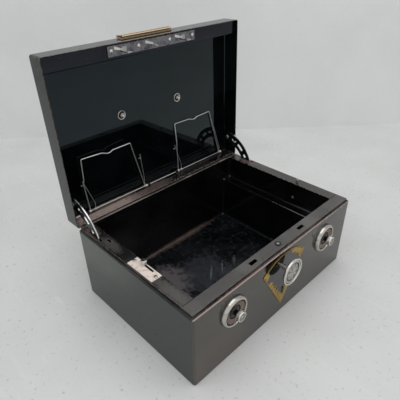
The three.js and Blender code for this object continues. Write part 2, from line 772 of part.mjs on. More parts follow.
// Channel: a folded strip welded inside the lid's front edge, behind its lip
const channelFront = lidFrontInner - SEAT;
const channelBack = channelFront - CHANNEL_WIDTH;
const channelUp = CHANNEL_RECESS + SHEET;
const channelProfile = outline([
  [-channelFront, CHANNEL_RECESS],
  [-channelBack, CHANNEL_RECESS],
  [-channelBack, channelUp + CHANNEL_RETURN],
  [-channelBack - SHEET, channelUp + CHANNEL_RETURN],
  [-channelBack - SHEET, channelUp],
  [-channelFront + SHEET, channelUp],
  [-channelFront + SHEET, channelUp + CHANNEL_LEG],
  [-channelFront, channelUp + CHANNEL_LEG],
]);
const channelHalf = halfWidth - CORNER_RADIUS;
addMesh(lid, 'lid_front_channel', extruded(channelProfile, -channelHalf, channelHalf, 'x'), 'lacquer');

// Strike plate: four rivet heads and a pressed tongue that meets the button
function strikePlate() {
  const front = lidLength - STRIKE_INSET;
  const half = STRIKE_LENGTH / 2;
  const plate = lidBlock([-half, half], [front - STRIKE_WIDTH, front], [strikeUp, strikeUp + STRIKE_THICK]);
  const rivetBack = front - STRIKE_WIDTH / 2 + 1;
  const headProfile = [
    [0, -STRIKE_THICK / 2],
    [RIVET_HEAD_RADIUS, -STRIKE_THICK / 2],
    ...dome(RIVET_HEAD_RADIUS, 0, RIVET_HEAD_HEIGHT),
  ];
  const heads = STRIKE_RIVET_XS.map((x) => {
    const geometry = geometryOf(turnedOn('z', headProfile, [0, 0, 0], 12));
    geometry.rotateX(Math.PI);
    geometry.translate(x, -rivetBack, strikeUp);
    return solidOf(geometry);
  });
  const tongueTip = hingeZ - BUTTON_RISE - rimTop;
  const tongueUp = SEAT - tongueTip;
  const tongue = outline([
    [-hookBack - 4, strikeUp + STRIKE_THICK / 2],
    [-hookBack - 2, tongueUp],
    [-hookBack + 2, tongueUp],
    [-hookBack + 5, strikeUp + STRIKE_THICK / 2],
  ]);
  return joined(plate, ...heads, extruded(tongue, -TONGUE_WIDTH / 2, TONGUE_WIDTH / 2, 'x'));
}
addMesh(lid, 'strike_plate', strikePlate(), 'nickel');

// Hooks: each has a notch on its right side, which the bolt's nose enters
function hook(x) {
  const top = strikeUp - SEAT;
  const xs = [x - HOOK_WIDTH / 2, x + HOOK_WIDTH / 2];
  const tip = top - HOOK_REACH;
  const shank = lidBlock(xs, [hookBack - HOOK_THICK / 2, hookBack + HOOK_THICK / 2], [tip, top]);
  const foot = lidBlock(xs, [hookBack - HOOK_THICK / 2, hookBack + HOOK_FOOT], [top - SHEET, top]);
  const notch = lidBlock(
    [xs[1] - HOOK_NOTCH_DEPTH, xs[1] + 1],
    [hookBack - HOOK_THICK, hookBack + HOOK_THICK],
    [tip + HOOK_TOE, tip + HOOK_TOE + HOOK_NOTCH],
  );
  return cut(joined(shank, foot), notch);
}
addMesh(lid, 'hook_left', hook(-HOOK_X), 'steel');
addMesh(lid, 'hook_right', hook(HOOK_X), 'steel');

// Stay rivets: a spacer off the lid's wall, a shank through the arm and a domed head
function stayRivet(side) {
  const wall = halfWidth - SHEET - SEAT;
  const armOut = stayX + STAY_THICK / 2 + SEAT;
  const armIn = stayX - STAY_THICK / 2 - SEAT;
  const profile = [
    [0, -wall],
    [5, -wall],
    [5, -armOut],
    [STAY_RIVET_RADIUS, -armOut],
    [STAY_RIVET_RADIUS, -armIn],
    ...dome(4.6, -armIn, 2.2),
  ];
  const geometry = geometryOf(turnedOn('x', profile, [0, 0, 0], 14));
  if (side > 0) geometry.rotateZ(Math.PI);
  geometry.translate(0, -STAY_RIVET_BACK, STAY_RIVET_UP);
  return solidOf(geometry);
}
addMesh(lid, 'stay_rivet_left', stayRivet(-1), 'nickel');
addMesh(lid, 'stay_rivet_right', stayRivet(1), 'nickel');

// Paper bails: a strip with two eyes inside the lid's back wall, and a wire loop whose
// right leg leans inwards and whose top wire has a finger dip
function bailStrip(x) {
  const ends = [x - BAIL_EYE_OFFSET, x + BAIL_FOOT_SPAN + BAIL_EYE_OFFSET];
  const base = SHEET + SEAT;
  const half = BAIL_EYE_WIDTH / 2;
  const strip = lidBlock([ends[0] - half, ends[1] + half], [base, base + 0.8], BAIL_STRIP_UPS);
  const eyes = ends.map((end) =>
    lidBlock(
      [end - half, end + half],
      [base, BAIL_PIVOT_BACK + BAIL_EYE_HALF],
      [BAIL_PIVOT_UP - BAIL_EYE_HALF, BAIL_PIVOT_UP + BAIL_EYE_HALF],
    ),
  );
  const pivot = [0, -BAIL_PIVOT_BACK, BAIL_PIVOT_UP];
  const bore = rod('x', BAIL_WIRE + RUNNING, ends[0] - half - 1, ends[1] + half + 1, pivot, 10);
  return cut(joined(strip, ...eyes), bore);
}

function bail(x, cornerUps) {
  const at = (px, back, up) => new THREE.Vector3(px, -back, up);
  const top = BAIL_PIVOT_BACK + BAIL_HEIGHT;
  const far = x + BAIL_TOP_SPAN;
  const upAt = (px) => THREE.MathUtils.mapLinear(px, x, far, ...cornerUps);
  const dipFrom = x + BAIL_DIP_START;
  const dipTo = dipFrom + BAIL_DIP_LENGTH;
  const corners = [
    at(x - BAIL_STUB, BAIL_PIVOT_BACK, BAIL_PIVOT_UP),
    at(x, BAIL_PIVOT_BACK, BAIL_PIVOT_UP),
    at(x, top, upAt(x)),
    at(dipFrom, top, upAt(dipFrom)),
    at(dipFrom + BAIL_DIP, top - BAIL_DIP, upAt(dipFrom)),
    at(dipTo - BAIL_DIP, top - BAIL_DIP, upAt(dipTo)),
    at(dipTo, top, upAt(dipTo)),
    at(far, top, upAt(far)),
    at(x + BAIL_FOOT_SPAN, BAIL_PIVOT_BACK, BAIL_PIVOT_UP),
    at(x + BAIL_FOOT_SPAN + BAIL_STUB, BAIL_PIVOT_BACK, BAIL_PIVOT_UP),
  ];
  return bentWire(corners, BAIL_BEND, BAIL_WIRE, 6);
}

['left', 'right'].forEach((side, i) => {
  addMesh(lid, `bail_strip_${side}`, bailStrip(bailXs[i]), 'nickel');
  addMesh(lid, `bail_${side}`, bail(bailXs[i], BAIL_CORNER_UPS[i]), 'nickel');
});

// Carry handle: two ears studded through the lid's top, washers and nuts inside, and a
// bent rod with a thicker grip that swings in the ears
const earBase = LID_DEPTH + SEAT;
const handleUp = earBase + EAR_HEIGHT / 2;

function handleEar(x) {
  const place = [x, -HANDLE_SETBACK, 0];
  const ear = lidBlock(
    [x - EAR_HALF, x + EAR_HALF],
    [HANDLE_SETBACK - EAR_HALF, HANDLE_SETBACK + EAR_HALF],
    [earBase, earBase + EAR_HEIGHT],
  );
  const stud = rod('z', STUD_RADIUS, lidInner - STUD_LENGTH, earBase + 1, place);
  const inward = x > 0 ? -1 : 1;
  const depth = [x - 2 * inward, x + (EAR_HALF + 1) * inward].sort((a, b) => a - b);
  const bore = rod('x', HANDLE_ROD + RUNNING, ...depth, [0, -HANDLE_SETBACK, handleUp], 16);
  return cut(joined(ear, stud), bore);
}

function handleNut(x) {
  const seat = lidInner - SEAT;
  const bore = STUD_RADIUS + SEAT;
  const nutTop = seat - WASHER_THICK;
  const nutEnd = nutTop - NUT_THICK;
  const profile = [
    [bore, nutEnd],
    [NUT_RADIUS - 0.6, nutEnd],
    [NUT_RADIUS, nutEnd + 0.6],
    [NUT_RADIUS, nutTop],
    [WASHER_RADIUS, nutTop],
    [WASHER_RADIUS, seat],
    [bore, seat],
  ];
  return turnedOn('z', profile, [x, -HANDLE_SETBACK, 0], 14);
}

function carryHandle() {
  const pinEnd = HANDLE_X + 1;
  const leg = HANDLE_X - EAR_HALF - HANDLE_ROD - 2;
  const corner = (x, back) => new THREE.Vector3(x, -back, handleUp);
  const grip = HANDLE_SETBACK - HANDLE_DROP;
  const loop = [
    corner(-pinEnd, HANDLE_SETBACK),
    corner(-leg, HANDLE_SETBACK),
    corner(-leg, grip),
    corner(leg, grip),
    corner(leg, HANDLE_SETBACK),
    corner(pinEnd, HANDLE_SETBACK),
  ];
  const half = HANDLE_GRIP_LENGTH / 2;
  const sleeve = [
    [0, -half],
    [HANDLE_GRIP_RADIUS - 1, -half],
    [HANDLE_GRIP_RADIUS, -half + 2],
    [HANDLE_GRIP_RADIUS, half - 2],
    [HANDLE_GRIP_RADIUS - 1, half],
    [0, half],
  ];
  return joined(bentWire(loop, HANDLE_BEND, HANDLE_ROD, 8), turnedOn('x', sleeve, [0, -grip, handleUp], 12));
}

for (const [side, x] of [['left', -HANDLE_X], ['right', HANDLE_X]]) {
  addMesh(lid, `handle_ear_${side}`, handleEar(x), 'nickel');
  addMesh(lid, `handle_nut_${side}`, handleNut(x), 'nickel');
}
addMesh(lid, 'carry_handle', carryHandle(), 'nickel');

// Pull: a brass flap hinged between two ears of its plate on the lid's front
const pullPivot = [0, -lidLength - SEAT - PULL_PIVOT_OUT, PULL_PIVOT_UP];

function pullPlate() {
  const out = lidLength + SEAT;
  const sheet = [out, out + PULL_SHEET];
  const earOut = out + PULL_PIVOT_OUT + PULL_BARREL;
  const earUps = [PULL_PIVOT_UP - PULL_BARREL, PULL_UPS[1]];
  const inner = PULL_HALF - PULL_EAR;
  const plate = joined(
    lidBlock([-PULL_HALF, PULL_HALF], sheet, PULL_UPS),
    lidBlock([-PULL_HALF, -inner], [out, earOut], earUps),
    lidBlock([inner, PULL_HALF], [out, earOut], earUps),
  );
  return cut(plate, rod('x', PULL_PIN + RUNNING, -PULL_HALF - 1, PULL_HALF + 1, pullPivot, 10));
}

function pullFlap() {
  const inner = PULL_HALF - PULL_EAR - RUNNING;
  const pinEnd = PULL_HALF - 0.4;
  const rollUp = PULL_PIVOT_UP - PULL_WEB;
  const rollAt = [0, pullPivot[1], rollUp];
  const webYs = [pullPivot[1] - PULL_WEB_THICK / 2, pullPivot[1] + PULL_WEB_THICK / 2];
  const web = block([-inner, inner], webYs, [rollUp, PULL_PIVOT_UP]);
  return joined(
    web,
    rod('x', PULL_BARREL, -inner, inner, pullPivot, 12),
    rod('x', PULL_PIN, -pinEnd, pinEnd, pullPivot, 10),
    rod('x', PULL_ROLL, -inner, inner, rollAt, 12),
  );
}
addMesh(lid, 'pull_plate', pullPlate(), 'brass');
addMesh(lid, 'pull_flap', pullFlap(), 'brass');

// Shield: straight lower sides, low shoulders and an arched top
function shield() {
  const shape = new THREE.Shape();
  const left = SHIELD_X - SHIELD_HALF_WIDTH;
  const right = SHIELD_X + SHIELD_HALF_WIDTH;
  const tip = centreKnobZ - SHIELD_TIP_BELOW;
  const shoulder = centreKnobZ + SHIELD_SHOULDER_ABOVE;
  const crown = centreKnobZ + SHIELD_CROWN_ABOVE;
  const brow = crown - SHIELD_BROW_DIP;
  const middle = SHIELD_X;
  shape.moveTo(middle, tip);
  shape.lineTo(right, shoulder);
  shape.bezierCurveTo(right - SHIELD_BROW, brow, middle + SHIELD_CROWN_HALF, crown, middle, crown);
  shape.bezierCurveTo(middle - SHIELD_CROWN_HALF, crown, left + SHIELD_BROW, brow, left, shoulder);
  shape.closePath();
  const back = frontY - SEAT;
  const plate = extruded(shape, back - SHIELD_THICK, back, 'y', 10);
  const stemHole = rod('out', CENTRE_STEM_RADIUS + RUNNING, -1, 3, [0, frontY, centreKnobZ]);
  return cut(plate, stemHole, keyhole(back - SHIELD_THICK - 1, back + 1));
}
addMesh(box, 'shield_plate', shield(), 'brass');

// Turned pieces of the front stand in groups whose own y axis points out of the front
function frontGroup(x, z) {
  const group = new THREE.Group();
  group.position.set(x, frontY, z);
  group.rotation.x = Math.PI;
  box.add(group);
  return group;
}

function turned(profile, sides) {
  return turnedOn('y', profile, [0, 0, 0], sides);
}

// Dials: a fixed ring, and a marked face, a knob and a notched disc that turn together
function dial(side, x) {
  const group = frontGroup(x, dialZ);
  const inner = -SHEET - SEAT;
  const bushEnd = inner - BUSH_LENGTH;
  const bore = SPINDLE_RADIUS + RUNNING;
  const faceBase = SEAT + 0.7;
  const faceTop = faceBase + DIAL_FACE_THICK;
  const knobBase = faceTop + SEAT;
  const height = DIAL_RING_HEIGHT;
  const ring = [
    [DIAL_RING_INNER, SEAT],
    [DIAL_RING_FOOT, SEAT],
    [DIAL_RING_FOOT + 1, height * 0.2],
    [DIAL_RING_RADIUS, height * 0.6],
    [DIAL_RING_RADIUS - 1, height * 0.9],
    [DIAL_RING_RADIUS - 2.7, height],
    [DIAL_RING_INNER + 1, height * 0.88],
    [DIAL_RING_INNER, height * 0.55],
  ];
  const face = [
    [bore, faceBase],
    [DIAL_RING_INNER - RUNNING, faceBase],
    [DIAL_RING_INNER - RUNNING, faceTop - 0.6],
    [DIAL_RING_INNER - RUNNING - 1, faceTop],
    [bore, faceTop],
  ];
  const knob = [
    [0, -SPINDLE_DEPTH],
    [SPINDLE_RADIUS, -SPINDLE_DEPTH],
    [SPINDLE_RADIUS, knobBase],
    [DIAL_KNOB_FOOT, knobBase],
    [DIAL_KNOB_NECK, knobBase + 2.5],
    [DIAL_KNOB_NECK, DIAL_KNOB_REACH - DIAL_KNOB_HEAD],
    [DIAL_KNOB_RADIUS, DIAL_KNOB_REACH - DIAL_KNOB_HEAD + 1.5],
    [DIAL_KNOB_RADIUS, DIAL_KNOB_REACH - 1.2],
    [DIAL_KNOB_RADIUS - 1.2, DIAL_KNOB_REACH],
    [0, DIAL_KNOB_REACH],
  ];
  const bush = [
    [bore, bushEnd],
    [BUSH_RADIUS - 2, bushEnd],
    [BUSH_RADIUS, inner - 1.2],
    [BUSH_RADIUS, inner],
    [bore, inner],
  ];
  const discTop = bushEnd - SEAT;
  const hole = SPINDLE_RADIUS + SEAT;
  const disc = [
    [hole, discTop - TUMBLER_THICK],
    [TUMBLER_RADIUS, discTop - TUMBLER_THICK],
    [TUMBLER_RADIUS, discTop],
    [hole, discTop],
  ];
  const notchHalf = TUMBLER_NOTCH / 2;
  const notch = block(
    [-notchHalf, notchHalf],
    [discTop - TUMBLER_THICK - 1, discTop + 1],
    [-TUMBLER_RADIUS - 1, -TUMBLER_RADIUS + TUMBLER_NOTCH],
  );
  addMesh(group, `dial_ring_${side}`, turned(ring, 30), 'nickel');
  addMesh(group, `dial_face_${side}`, turned(face, 24), 'dial');
  addMesh(group, `dial_knob_${side}`, turned(knob, 18), 'nickel');
  addMesh(group, `dial_bush_${side}`, turned(bush, 16), 'brass');
  addMesh(group, `dial_tumbler_${side}`, cut(turned(disc, 20), notch), 'brass');
}
dial('left', -dialX);
dial('right', dialX);

// Centre knob: a rimmed disc on a stem that turns the crank behind the front
const centre = frontGroup(0, centreKnobZ);
const knobUnder = CENTRE_KNOB_REACH - CENTRE_KNOB_THICK;
const boltY = hookY;
const boltFront = frontY - boltY + BOLT_THICK / 2;
const stemEnd = boltFront + RUNNING - SEAT;
const crankTop = stemEnd + SEAT + CRANK_THICK;
const centreProfile = [
  [0, stemEnd + SEAT],
  [CENTRE_STEM_RADIUS, stemEnd + SEAT],
  [CENTRE_STEM_RADIUS, knobUnder - 2],
  [CENTRE_STEM_RADIUS + 3, knobUnder],
  [CENTRE_KNOB_RADIUS - 1.5, knobUnder + 1],
  [CENTRE_KNOB_RADIUS, knobUnder + 2.6],
  [CENTRE_KNOB_RADIUS, CENTRE_KNOB_REACH - 1.2],
  [CENTRE_KNOB_RADIUS - 1, CENTRE_KNOB_REACH],
  [CENTRE_KNOB_RADIUS - 3, CENTRE_KNOB_REACH],
  [CENTRE_KNOB_RADIUS - 3.6, CENTRE_KNOB_REACH - 1.4],
  [0, CENTRE_KNOB_REACH - 1],
];
addMesh(centre, 'centre_knob', turned(centreProfile, 32), 'nickel');

const bushInner = -SHEET - 2 * SEAT - LOCK_SHEET - SEAT;
const centreBore = CENTRE_STEM_RADIUS + RUNNING;
const centreBush = [
  [centreBore, bushInner - BUSH_LENGTH],
  [BUSH_RADIUS, bushInner - BUSH_LENGTH],
  [BUSH_RADIUS, bushInner],
  [centreBore, bushInner],
];
addMesh(centre, 'centre_bush', turned(centreBush, 20), 'brass');

// The crank's pin starts half a turn's share to the right of the top and ends as far left
function centreCrank() {
  const hole = CENTRE_STEM_RADIUS + SEAT;
  const disc = [
    [hole, crankTop - CRANK_THICK],
    [CRANK_RADIUS, crankTop - CRANK_THICK],
    [CRANK_RADIUS, crankTop],
    [hole, crankTop],
  ];
  const pinX = crankPinArc * Math.sin(knobTurn / 2);
  const pinZ = -crankPinArc * Math.cos(knobTurn / 2);
  const pinDepth = boltFront - BOLT_THICK - SEAT;
  const pin = [
    [0, pinDepth],
    [CRANK_PIN_RADIUS, pinDepth],
    [CRANK_PIN_RADIUS, crankTop - CRANK_THICK / 2],
    [0, crankTop - CRANK_THICK / 2],
  ];
  return joined(turned(disc, 24), turnedOn('y', pin, [pinX, 0, pinZ], 12));
}
addMesh(centre, 'centre_crank', centreCrank(), 'steel');

// Lock case: a tray behind the front, open to the back and top, with two guide posts
const caseFront = wallInner + SEAT;
const caseTop = CASE_HEIGHT - SHEET - SEAT;

function lockCase() {
  const xs = [-LOCK_CASE_HALF, LOCK_CASE_HALF];
  const ys = [caseFront, caseFront + LOCK_CASE_DEPTH];
  const inset = [xs[0] + LOCK_SHEET, xs[1] - LOCK_SHEET];
  const hollow = block(inset, [ys[0] + LOCK_SHEET, ys[1] + 1], [lockCaseBase + LOCK_SHEET, caseTop + 1]);
  const stemHole = rod('out', centreBore, -3, 0, [0, caseFront, centreKnobZ]);
  const tray = cut(block(xs, ys, [lockCaseBase, caseTop]), hollow, stemHole);
  const postEnd = boltY + BOLT_THICK / 2 + 1.5;
  const posts = [-BOLT_POST_X, BOLT_POST_X].map((x) =>
    rod('out', BOLT_POST_RADIUS, -postEnd, -caseFront, [x, 0, boltBase + BOLT_HEIGHT / 2], 12),
  );
  return joined(tray, ...posts);
}
addMesh(box, 'lock_case', lockCase(), 'steel');

// Bolt: one bar for both hooks, with a finger and nose beside each, slots for the posts
// and a fork over the crank's pin
const hookTipZ = hingeZ + strikeUp - SEAT - HOOK_REACH;
const noseZ = hookTipZ + HOOK_TOE + 0.5;

function lockBolt() {
  const ys = [boltY - BOLT_THICK / 2, boltY + BOLT_THICK / 2];
  const through = [ys[0] - 1, ys[1] + 1];
  const noseTip = HOOK_WIDTH / 2 + 0.8;
  const fingerFrom = noseTip + NOSE_LENGTH;
  const noseHeight = HOOK_NOTCH - 1;
  const bar = block(
    [-HOOK_X + noseTip, HOOK_X + fingerFrom + FINGER_WIDTH],
    ys,
    [boltBase, boltBase + BOLT_HEIGHT],
  );
  const fingers = [-HOOK_X, HOOK_X].flatMap((x) => [
    block([x + fingerFrom, x + fingerFrom + FINGER_WIDTH], ys, [boltBase, noseZ + noseHeight]),
    block([x + noseTip, x + fingerFrom + 1], ys, [noseZ, noseZ + noseHeight]),
  ]);
  const postRoom = BOLT_POST_RADIUS + RUNNING;
  const middle = boltBase + BOLT_HEIGHT / 2;
  const postSlots = [-BOLT_POST_X, BOLT_POST_X].map((x) =>
    block([x - postRoom, x + postRoom + BOLT_TRAVEL], through, [middle - postRoom, middle + postRoom]),
  );
  const pinX = BOLT_TRAVEL / 2;
  const gap = CRANK_PIN_RADIUS + FORK_PLAY;
  const prong = 4;
  const forkBase = centreKnobZ + CENTRE_STEM_RADIUS - 1;
  const fork = block([pinX - gap - prong, pinX + gap + prong], ys, [forkBase, boltBase + 1]);
  const forkTop = centreKnobZ + crankPinArc + gap;
  const forkSlot = block([pinX - gap, pinX + gap], through, [forkBase - 1, forkTop]);
  return cut(joined(bar, fork, ...fingers), ...postSlots, forkSlot);
}
addMesh(box, 'lock_bolt', lockBolt(), 'steel');

// Key lock: a small tray below, with the post that a key turns on and a bolt it lifts
const keyCaseTop = keyCaseBase + KEY_CASE_HEIGHT;
const keyBoltX = KEYHOLE_X + KEY_BOLT_OFFSET;
const keyBoltYs = [caseFront + LOCK_SHEET + 4, caseFront + LOCK_SHEET + 4 + KEY_BOLT_THICK];

function keyLockCase() {
  const xs = [KEYHOLE_X - KEY_CASE_WIDTH / 2, KEYHOLE_X + KEY_CASE_WIDTH / 2];
  const ys = [caseFront, caseFront + KEY_CASE_DEPTH];
  const hollow = block(
    [xs[0] + LOCK_SHEET, xs[1] - LOCK_SHEET],
    [ys[0] + LOCK_SHEET, ys[1] - LOCK_SHEET],
    [keyCaseBase + LOCK_SHEET, keyCaseTop - LOCK_SHEET],
  );
  const slotHalf = KEY_BOLT_WIDTH / 2 + RUNNING;
  const boltSlot = block(
    [keyBoltX - slotHalf, keyBoltX + slotHalf],
    [keyBoltYs[0] - RUNNING, keyBoltYs[1] + RUNNING],
    [keyCaseTop - LOCK_SHEET - 1, keyCaseTop + 1],
  );
  const post = rod('out', KEY_POST_RADIUS, -ys[1] + 0.5, -ys[0] - LOCK_SHEET, [KEYHOLE_X, 0, keyholeZ], 10);
  const front = keyhole(ys[0] - 1, ys[0] + LOCK_SHEET + 0.5);
  return joined(cut(block(xs, ys, [keyCaseBase, keyCaseTop]), hollow, boltSlot, front), post);
}
addMesh(box, 'key_lock_case', keyLockCase(), 'steel');
addMesh(
  box,
  'key_bolt',
  block(
    [keyBoltX - KEY_BOLT_WIDTH / 2, keyBoltX + KEY_BOLT_WIDTH / 2],
    keyBoltYs,
    [keyCaseBase + LOCK_SHEET + SEAT, keyCaseTop + KEY_BOLT_REST],
  ),
  'steel',
);

// Auto-lock button: a domed pin in a flanged cup, held up by a coil spring
const guideBore = BUTTON_RADIUS + RUNNING;
const guideBase = rimTop - GUIDE_DEPTH;
const stemBore = BUTTON_STEM_RADIUS + RUNNING;
const buttonBase = guideBase + GUIDE_WALL + 6.4;

function buttonGuide() {
  const flangeUnder = rimTop + SEAT;
  const profile = [
    [stemBore, guideBase],
    [guideBore + GUIDE_WALL, guideBase],
    [guideBore + GUIDE_WALL, flangeUnder],
    [GUIDE_FLANGE_RADIUS, flangeUnder],
    [GUIDE_FLANGE_RADIUS - 0.3, flangeUnder + 0.5],
    [guideBore, flangeUnder + 0.5],
    [guideBore, guideBase + GUIDE_WALL],
    [stemBore, guideBase + GUIDE_WALL],
  ];
  return turnedOn('z', profile, [0, hookY, 0], 16);
}

function centreButton() {
  const stemTip = boltBase + BOLT_HEIGHT + BUTTON_TRAVEL + 2;
  const head = dome(BUTTON_RADIUS, rimTop - 0.4, BUTTON_RISE + 0.4);
  const profile = [
    [0, stemTip],
    [BUTTON_STEM_RADIUS, stemTip],
    [BUTTON_STEM_RADIUS, buttonBase],
    [BUTTON_RADIUS, buttonBase],
    ...head,
  ];
  return turnedOn('z', profile, [0, hookY, 0], 14);
}

function placedCoil(solid, x, y) {
  const geometry = geometryOf(solid);
  geometry.translate(x, y, 0);
  return solidOf(geometry);
}
addMesh(box, 'button_guide', buttonGuide(), 'nickel');
addMesh(box, 'centre_button', centreButton(), 'nickel');
const buttonCoil = coil(
  BUTTON_COIL_RADIUS,
  BUTTON_COIL_WIRE,
  BUTTON_COIL_TURNS,
  guideBase + GUIDE_WALL + SEAT,
  buttonBase - SEAT,
);
addMesh(box, 'button_spring', placedCoil(buttonCoil, 0, hookY), 'steel');

// Switch: a nickel plate on the left rim with a slot, two screws and a sliding knob
function switchSlot(depth) {
  const room = SWITCH_POST_RADIUS + RUNNING;
  return block(
    [switchSlotX - room, switchSlotX + room],
    [SWITCH_REST_Y - SWITCH_TRAVEL - room, SWITCH_REST_Y + room],
    depth,
  );
}

function switchScrewYs() {
  return [SWITCH_YS[0] + SWITCH_SCREW_MARGIN, SWITCH_YS[1] - SWITCH_SCREW_MARGIN];
}

function switchScrewHoles(depth) {
  return switchScrewYs().map((y) => rod('z', SCREW_RADIUS + SEAT, ...depth, [switchScrewX, y, 0], 12));
}

const switchBase = rimTop + SEAT;
const switchTop = switchBase + SWITCH_THICK;

function switchPlate() {
  const half = SWITCH_WIDTH / 2;
  const plate = block([switchX - half, switchX + half], SWITCH_YS, [switchBase, switchTop]);
  const depth = [switchBase - 1, switchTop + 1];
  return cut(plate, switchSlot(depth), ...switchScrewHoles(depth));
}

function switchKnob() {
  const headBase = switchTop + SWITCH_STAND;
  const footTop = rimUnder - SEAT;
  const footBase = footTop - 1.5;
  const profile = [
    [0, footBase],
    [SWITCH_POST_RADIUS, footBase],
    [SWITCH_POST_RADIUS, headBase],
    ...dome(SWITCH_HEAD_RADIUS, headBase, SWITCH_HEAD_HEIGHT),
  ];
  const inside = -linerHalf - LINER_SHEET - 0.5;
  const foot = block(
    [switchSlotX - 3.5, inside],
    [SWITCH_REST_Y - 5, SWITCH_REST_Y + 5],
    [footBase, footTop],
  );
  return joined(turnedOn('z', profile, [switchSlotX, SWITCH_REST_Y, 0], 20), foot);
}

function switchScrew(y) {
  const profile = [
    [0, rimUnder - 3],
    [SCREW_RADIUS, rimUnder - 3],
    [SCREW_RADIUS, switchTop + SEAT],
    ...dome(SCREW_HEAD_RADIUS, switchTop + SEAT, 1.6),
  ];
  return turnedOn('z', profile, [switchScrewX, y, 0], 16);
}
addMesh(box, 'switch_plate', switchPlate(), 'nickel');
addMesh(box, 'switch_knob', switchKnob(), 'nickel');
const [frontScrewY, backScrewY] = switchScrewYs();
addMesh(box, 'switch_screw_front', switchScrew(frontScrewY), 'nickel');
addMesh(box, 'switch_screw_back', switchScrew(backScrewY), 'nickel');

// Plunger: a domed pin through the right rim, with a collar, a coil spring and a bracket
// riveted to the inner box
const linerOut = linerHalf + LINER_SHEET;
const collarTop = rimUnder - SEAT;
const collarUnder = collarTop - PLUNGER_COLLAR_THICK;

function plungerBracket() {
  const face = linerOut + SEAT;
  const half = BRACKET_WIDTH / 2;
  const ys = [PLUNGER_Y - half, PLUNGER_Y + half];
  const plate = block([face, face + SHEET], ys, [bracketBase, bracketTop]);
  const reach = plungerX + PLUNGER_COLLAR_RADIUS + 2.5;
  const shelf = block([face, reach], ys, [bracketTop - SHEET, bracketTop]);
  const hole = rod('z', PLUNGER_RADIUS + RUNNING, bracketTop - 3, bracketTop + 1, [plungerX, PLUNGER_Y, 0]);
  const head = linerHalf - SEAT;
  const rivet = [
    [0, head - 1.2],
    [2.2, head - 1.2],
    [3, head - 0.5],
    [3, head],
    [2, head],
    [2, face + SHEET / 2],
    [0, face + SHEET / 2],
  ];
  const rivetAt = [0, PLUNGER_Y, bracketBase + BRACKET_HEIGHT / 2];
  return joined(cut(joined(plate, shelf), hole), turnedOn('x', rivet, rivetAt, 12));
}

function lidPlunger() {
  const headBase = rimTop + PLUNGER_STAND;
  const tail = bracketTop - SHEET - PLUNGER_TAIL;
  const profile = [
    [0, tail],
    [PLUNGER_RADIUS, tail],
    [PLUNGER_RADIUS, collarUnder],
    [PLUNGER_COLLAR_RADIUS, collarUnder],
    [PLUNGER_COLLAR_RADIUS, collarTop],
    [PLUNGER_RADIUS, collarTop],
    [PLUNGER_RADIUS, headBase],
    ...dome(PLUNGER_HEAD_RADIUS, headBase, PLUNGER_HEAD_HEIGHT),
  ];
  return turnedOn('z', profile, [plungerX, PLUNGER_Y, 0], 14);
}
addMesh(box, 'plunger_bracket', plungerBracket(), 'steel');
addMesh(box, 'lid_plunger', lidPlunger(), 'nickel');
const plungerCoil = coil(
  PLUNGER_COIL_RADIUS,
  PLUNGER_COIL_WIRE,
  PLUNGER_COIL_TURNS,
  bracketTop + SEAT,
  collarUnder - SEAT,
);
addMesh(box, 'plunger_spring', placedCoil(plungerCoil, plungerX, PLUNGER_Y), 'steel');

// Alarm bell: a plate on the inner box's left side with the gong's post and the hammer's
// pivot, and a hammer whose tail reaches back along the wall
const bellFace = -linerOut - SEAT;

function bellBracket() {
  const plateZs = [bellZ - BELL_PLATE_BELOW, bellZ + BELL_PLATE_ABOVE];
  const plate = block([bellFace - SHEET, bellFace], BELL_PLATE_YS, plateZs);
  const gongPost = [
    [0, bellFace - BELL_STAND - BELL_WALL - 2],
    [3.6, bellFace - BELL_STAND - BELL_WALL - 2],
    [4.4, bellFace - BELL_STAND - BELL_WALL - SEAT],
    [BELL_POST_RADIUS, bellFace - BELL_STAND - BELL_WALL - SEAT],
    [BELL_POST_RADIUS, bellFace - SHEET / 2],
    [0, bellFace - SHEET / 2],
  ];
  const pivotAt = [0, HAMMER_Y, hammerZ];
  const pivot = rod('x', HAMMER_PIVOT_RADIUS, bellFace - 12, bellFace - SHEET / 2, pivotAt, 12);
  return joined(plate, turnedOn('x', gongPost, [0, BELL_Y, bellZ], 16), pivot);
}

function bellGong() {
  const crown = bellFace - BELL_STAND - BELL_WALL;
  const bore = BELL_POST_RADIUS + SEAT;
  const outer = [
    [bore, crown],
    [BELL_RADIUS * 0.35, crown],
    [BELL_RADIUS * 0.8, crown + BELL_DEPTH * 0.2],
    [BELL_RADIUS * 0.96, crown + BELL_DEPTH * 0.5],
    [BELL_RADIUS, crown + BELL_DEPTH],
  ];
  const inner = outer
    .slice()
    .reverse()
    .map(([radius, height], i) => {
      const lift = i === 0 ? 0 : BELL_WALL;
      return [Math.max(radius - (i < 4 ? BELL_WALL : 0), bore), height + lift];
    });
  return turnedOn('x', [...outer, ...inner], [0, BELL_Y, bellZ], 20);
}

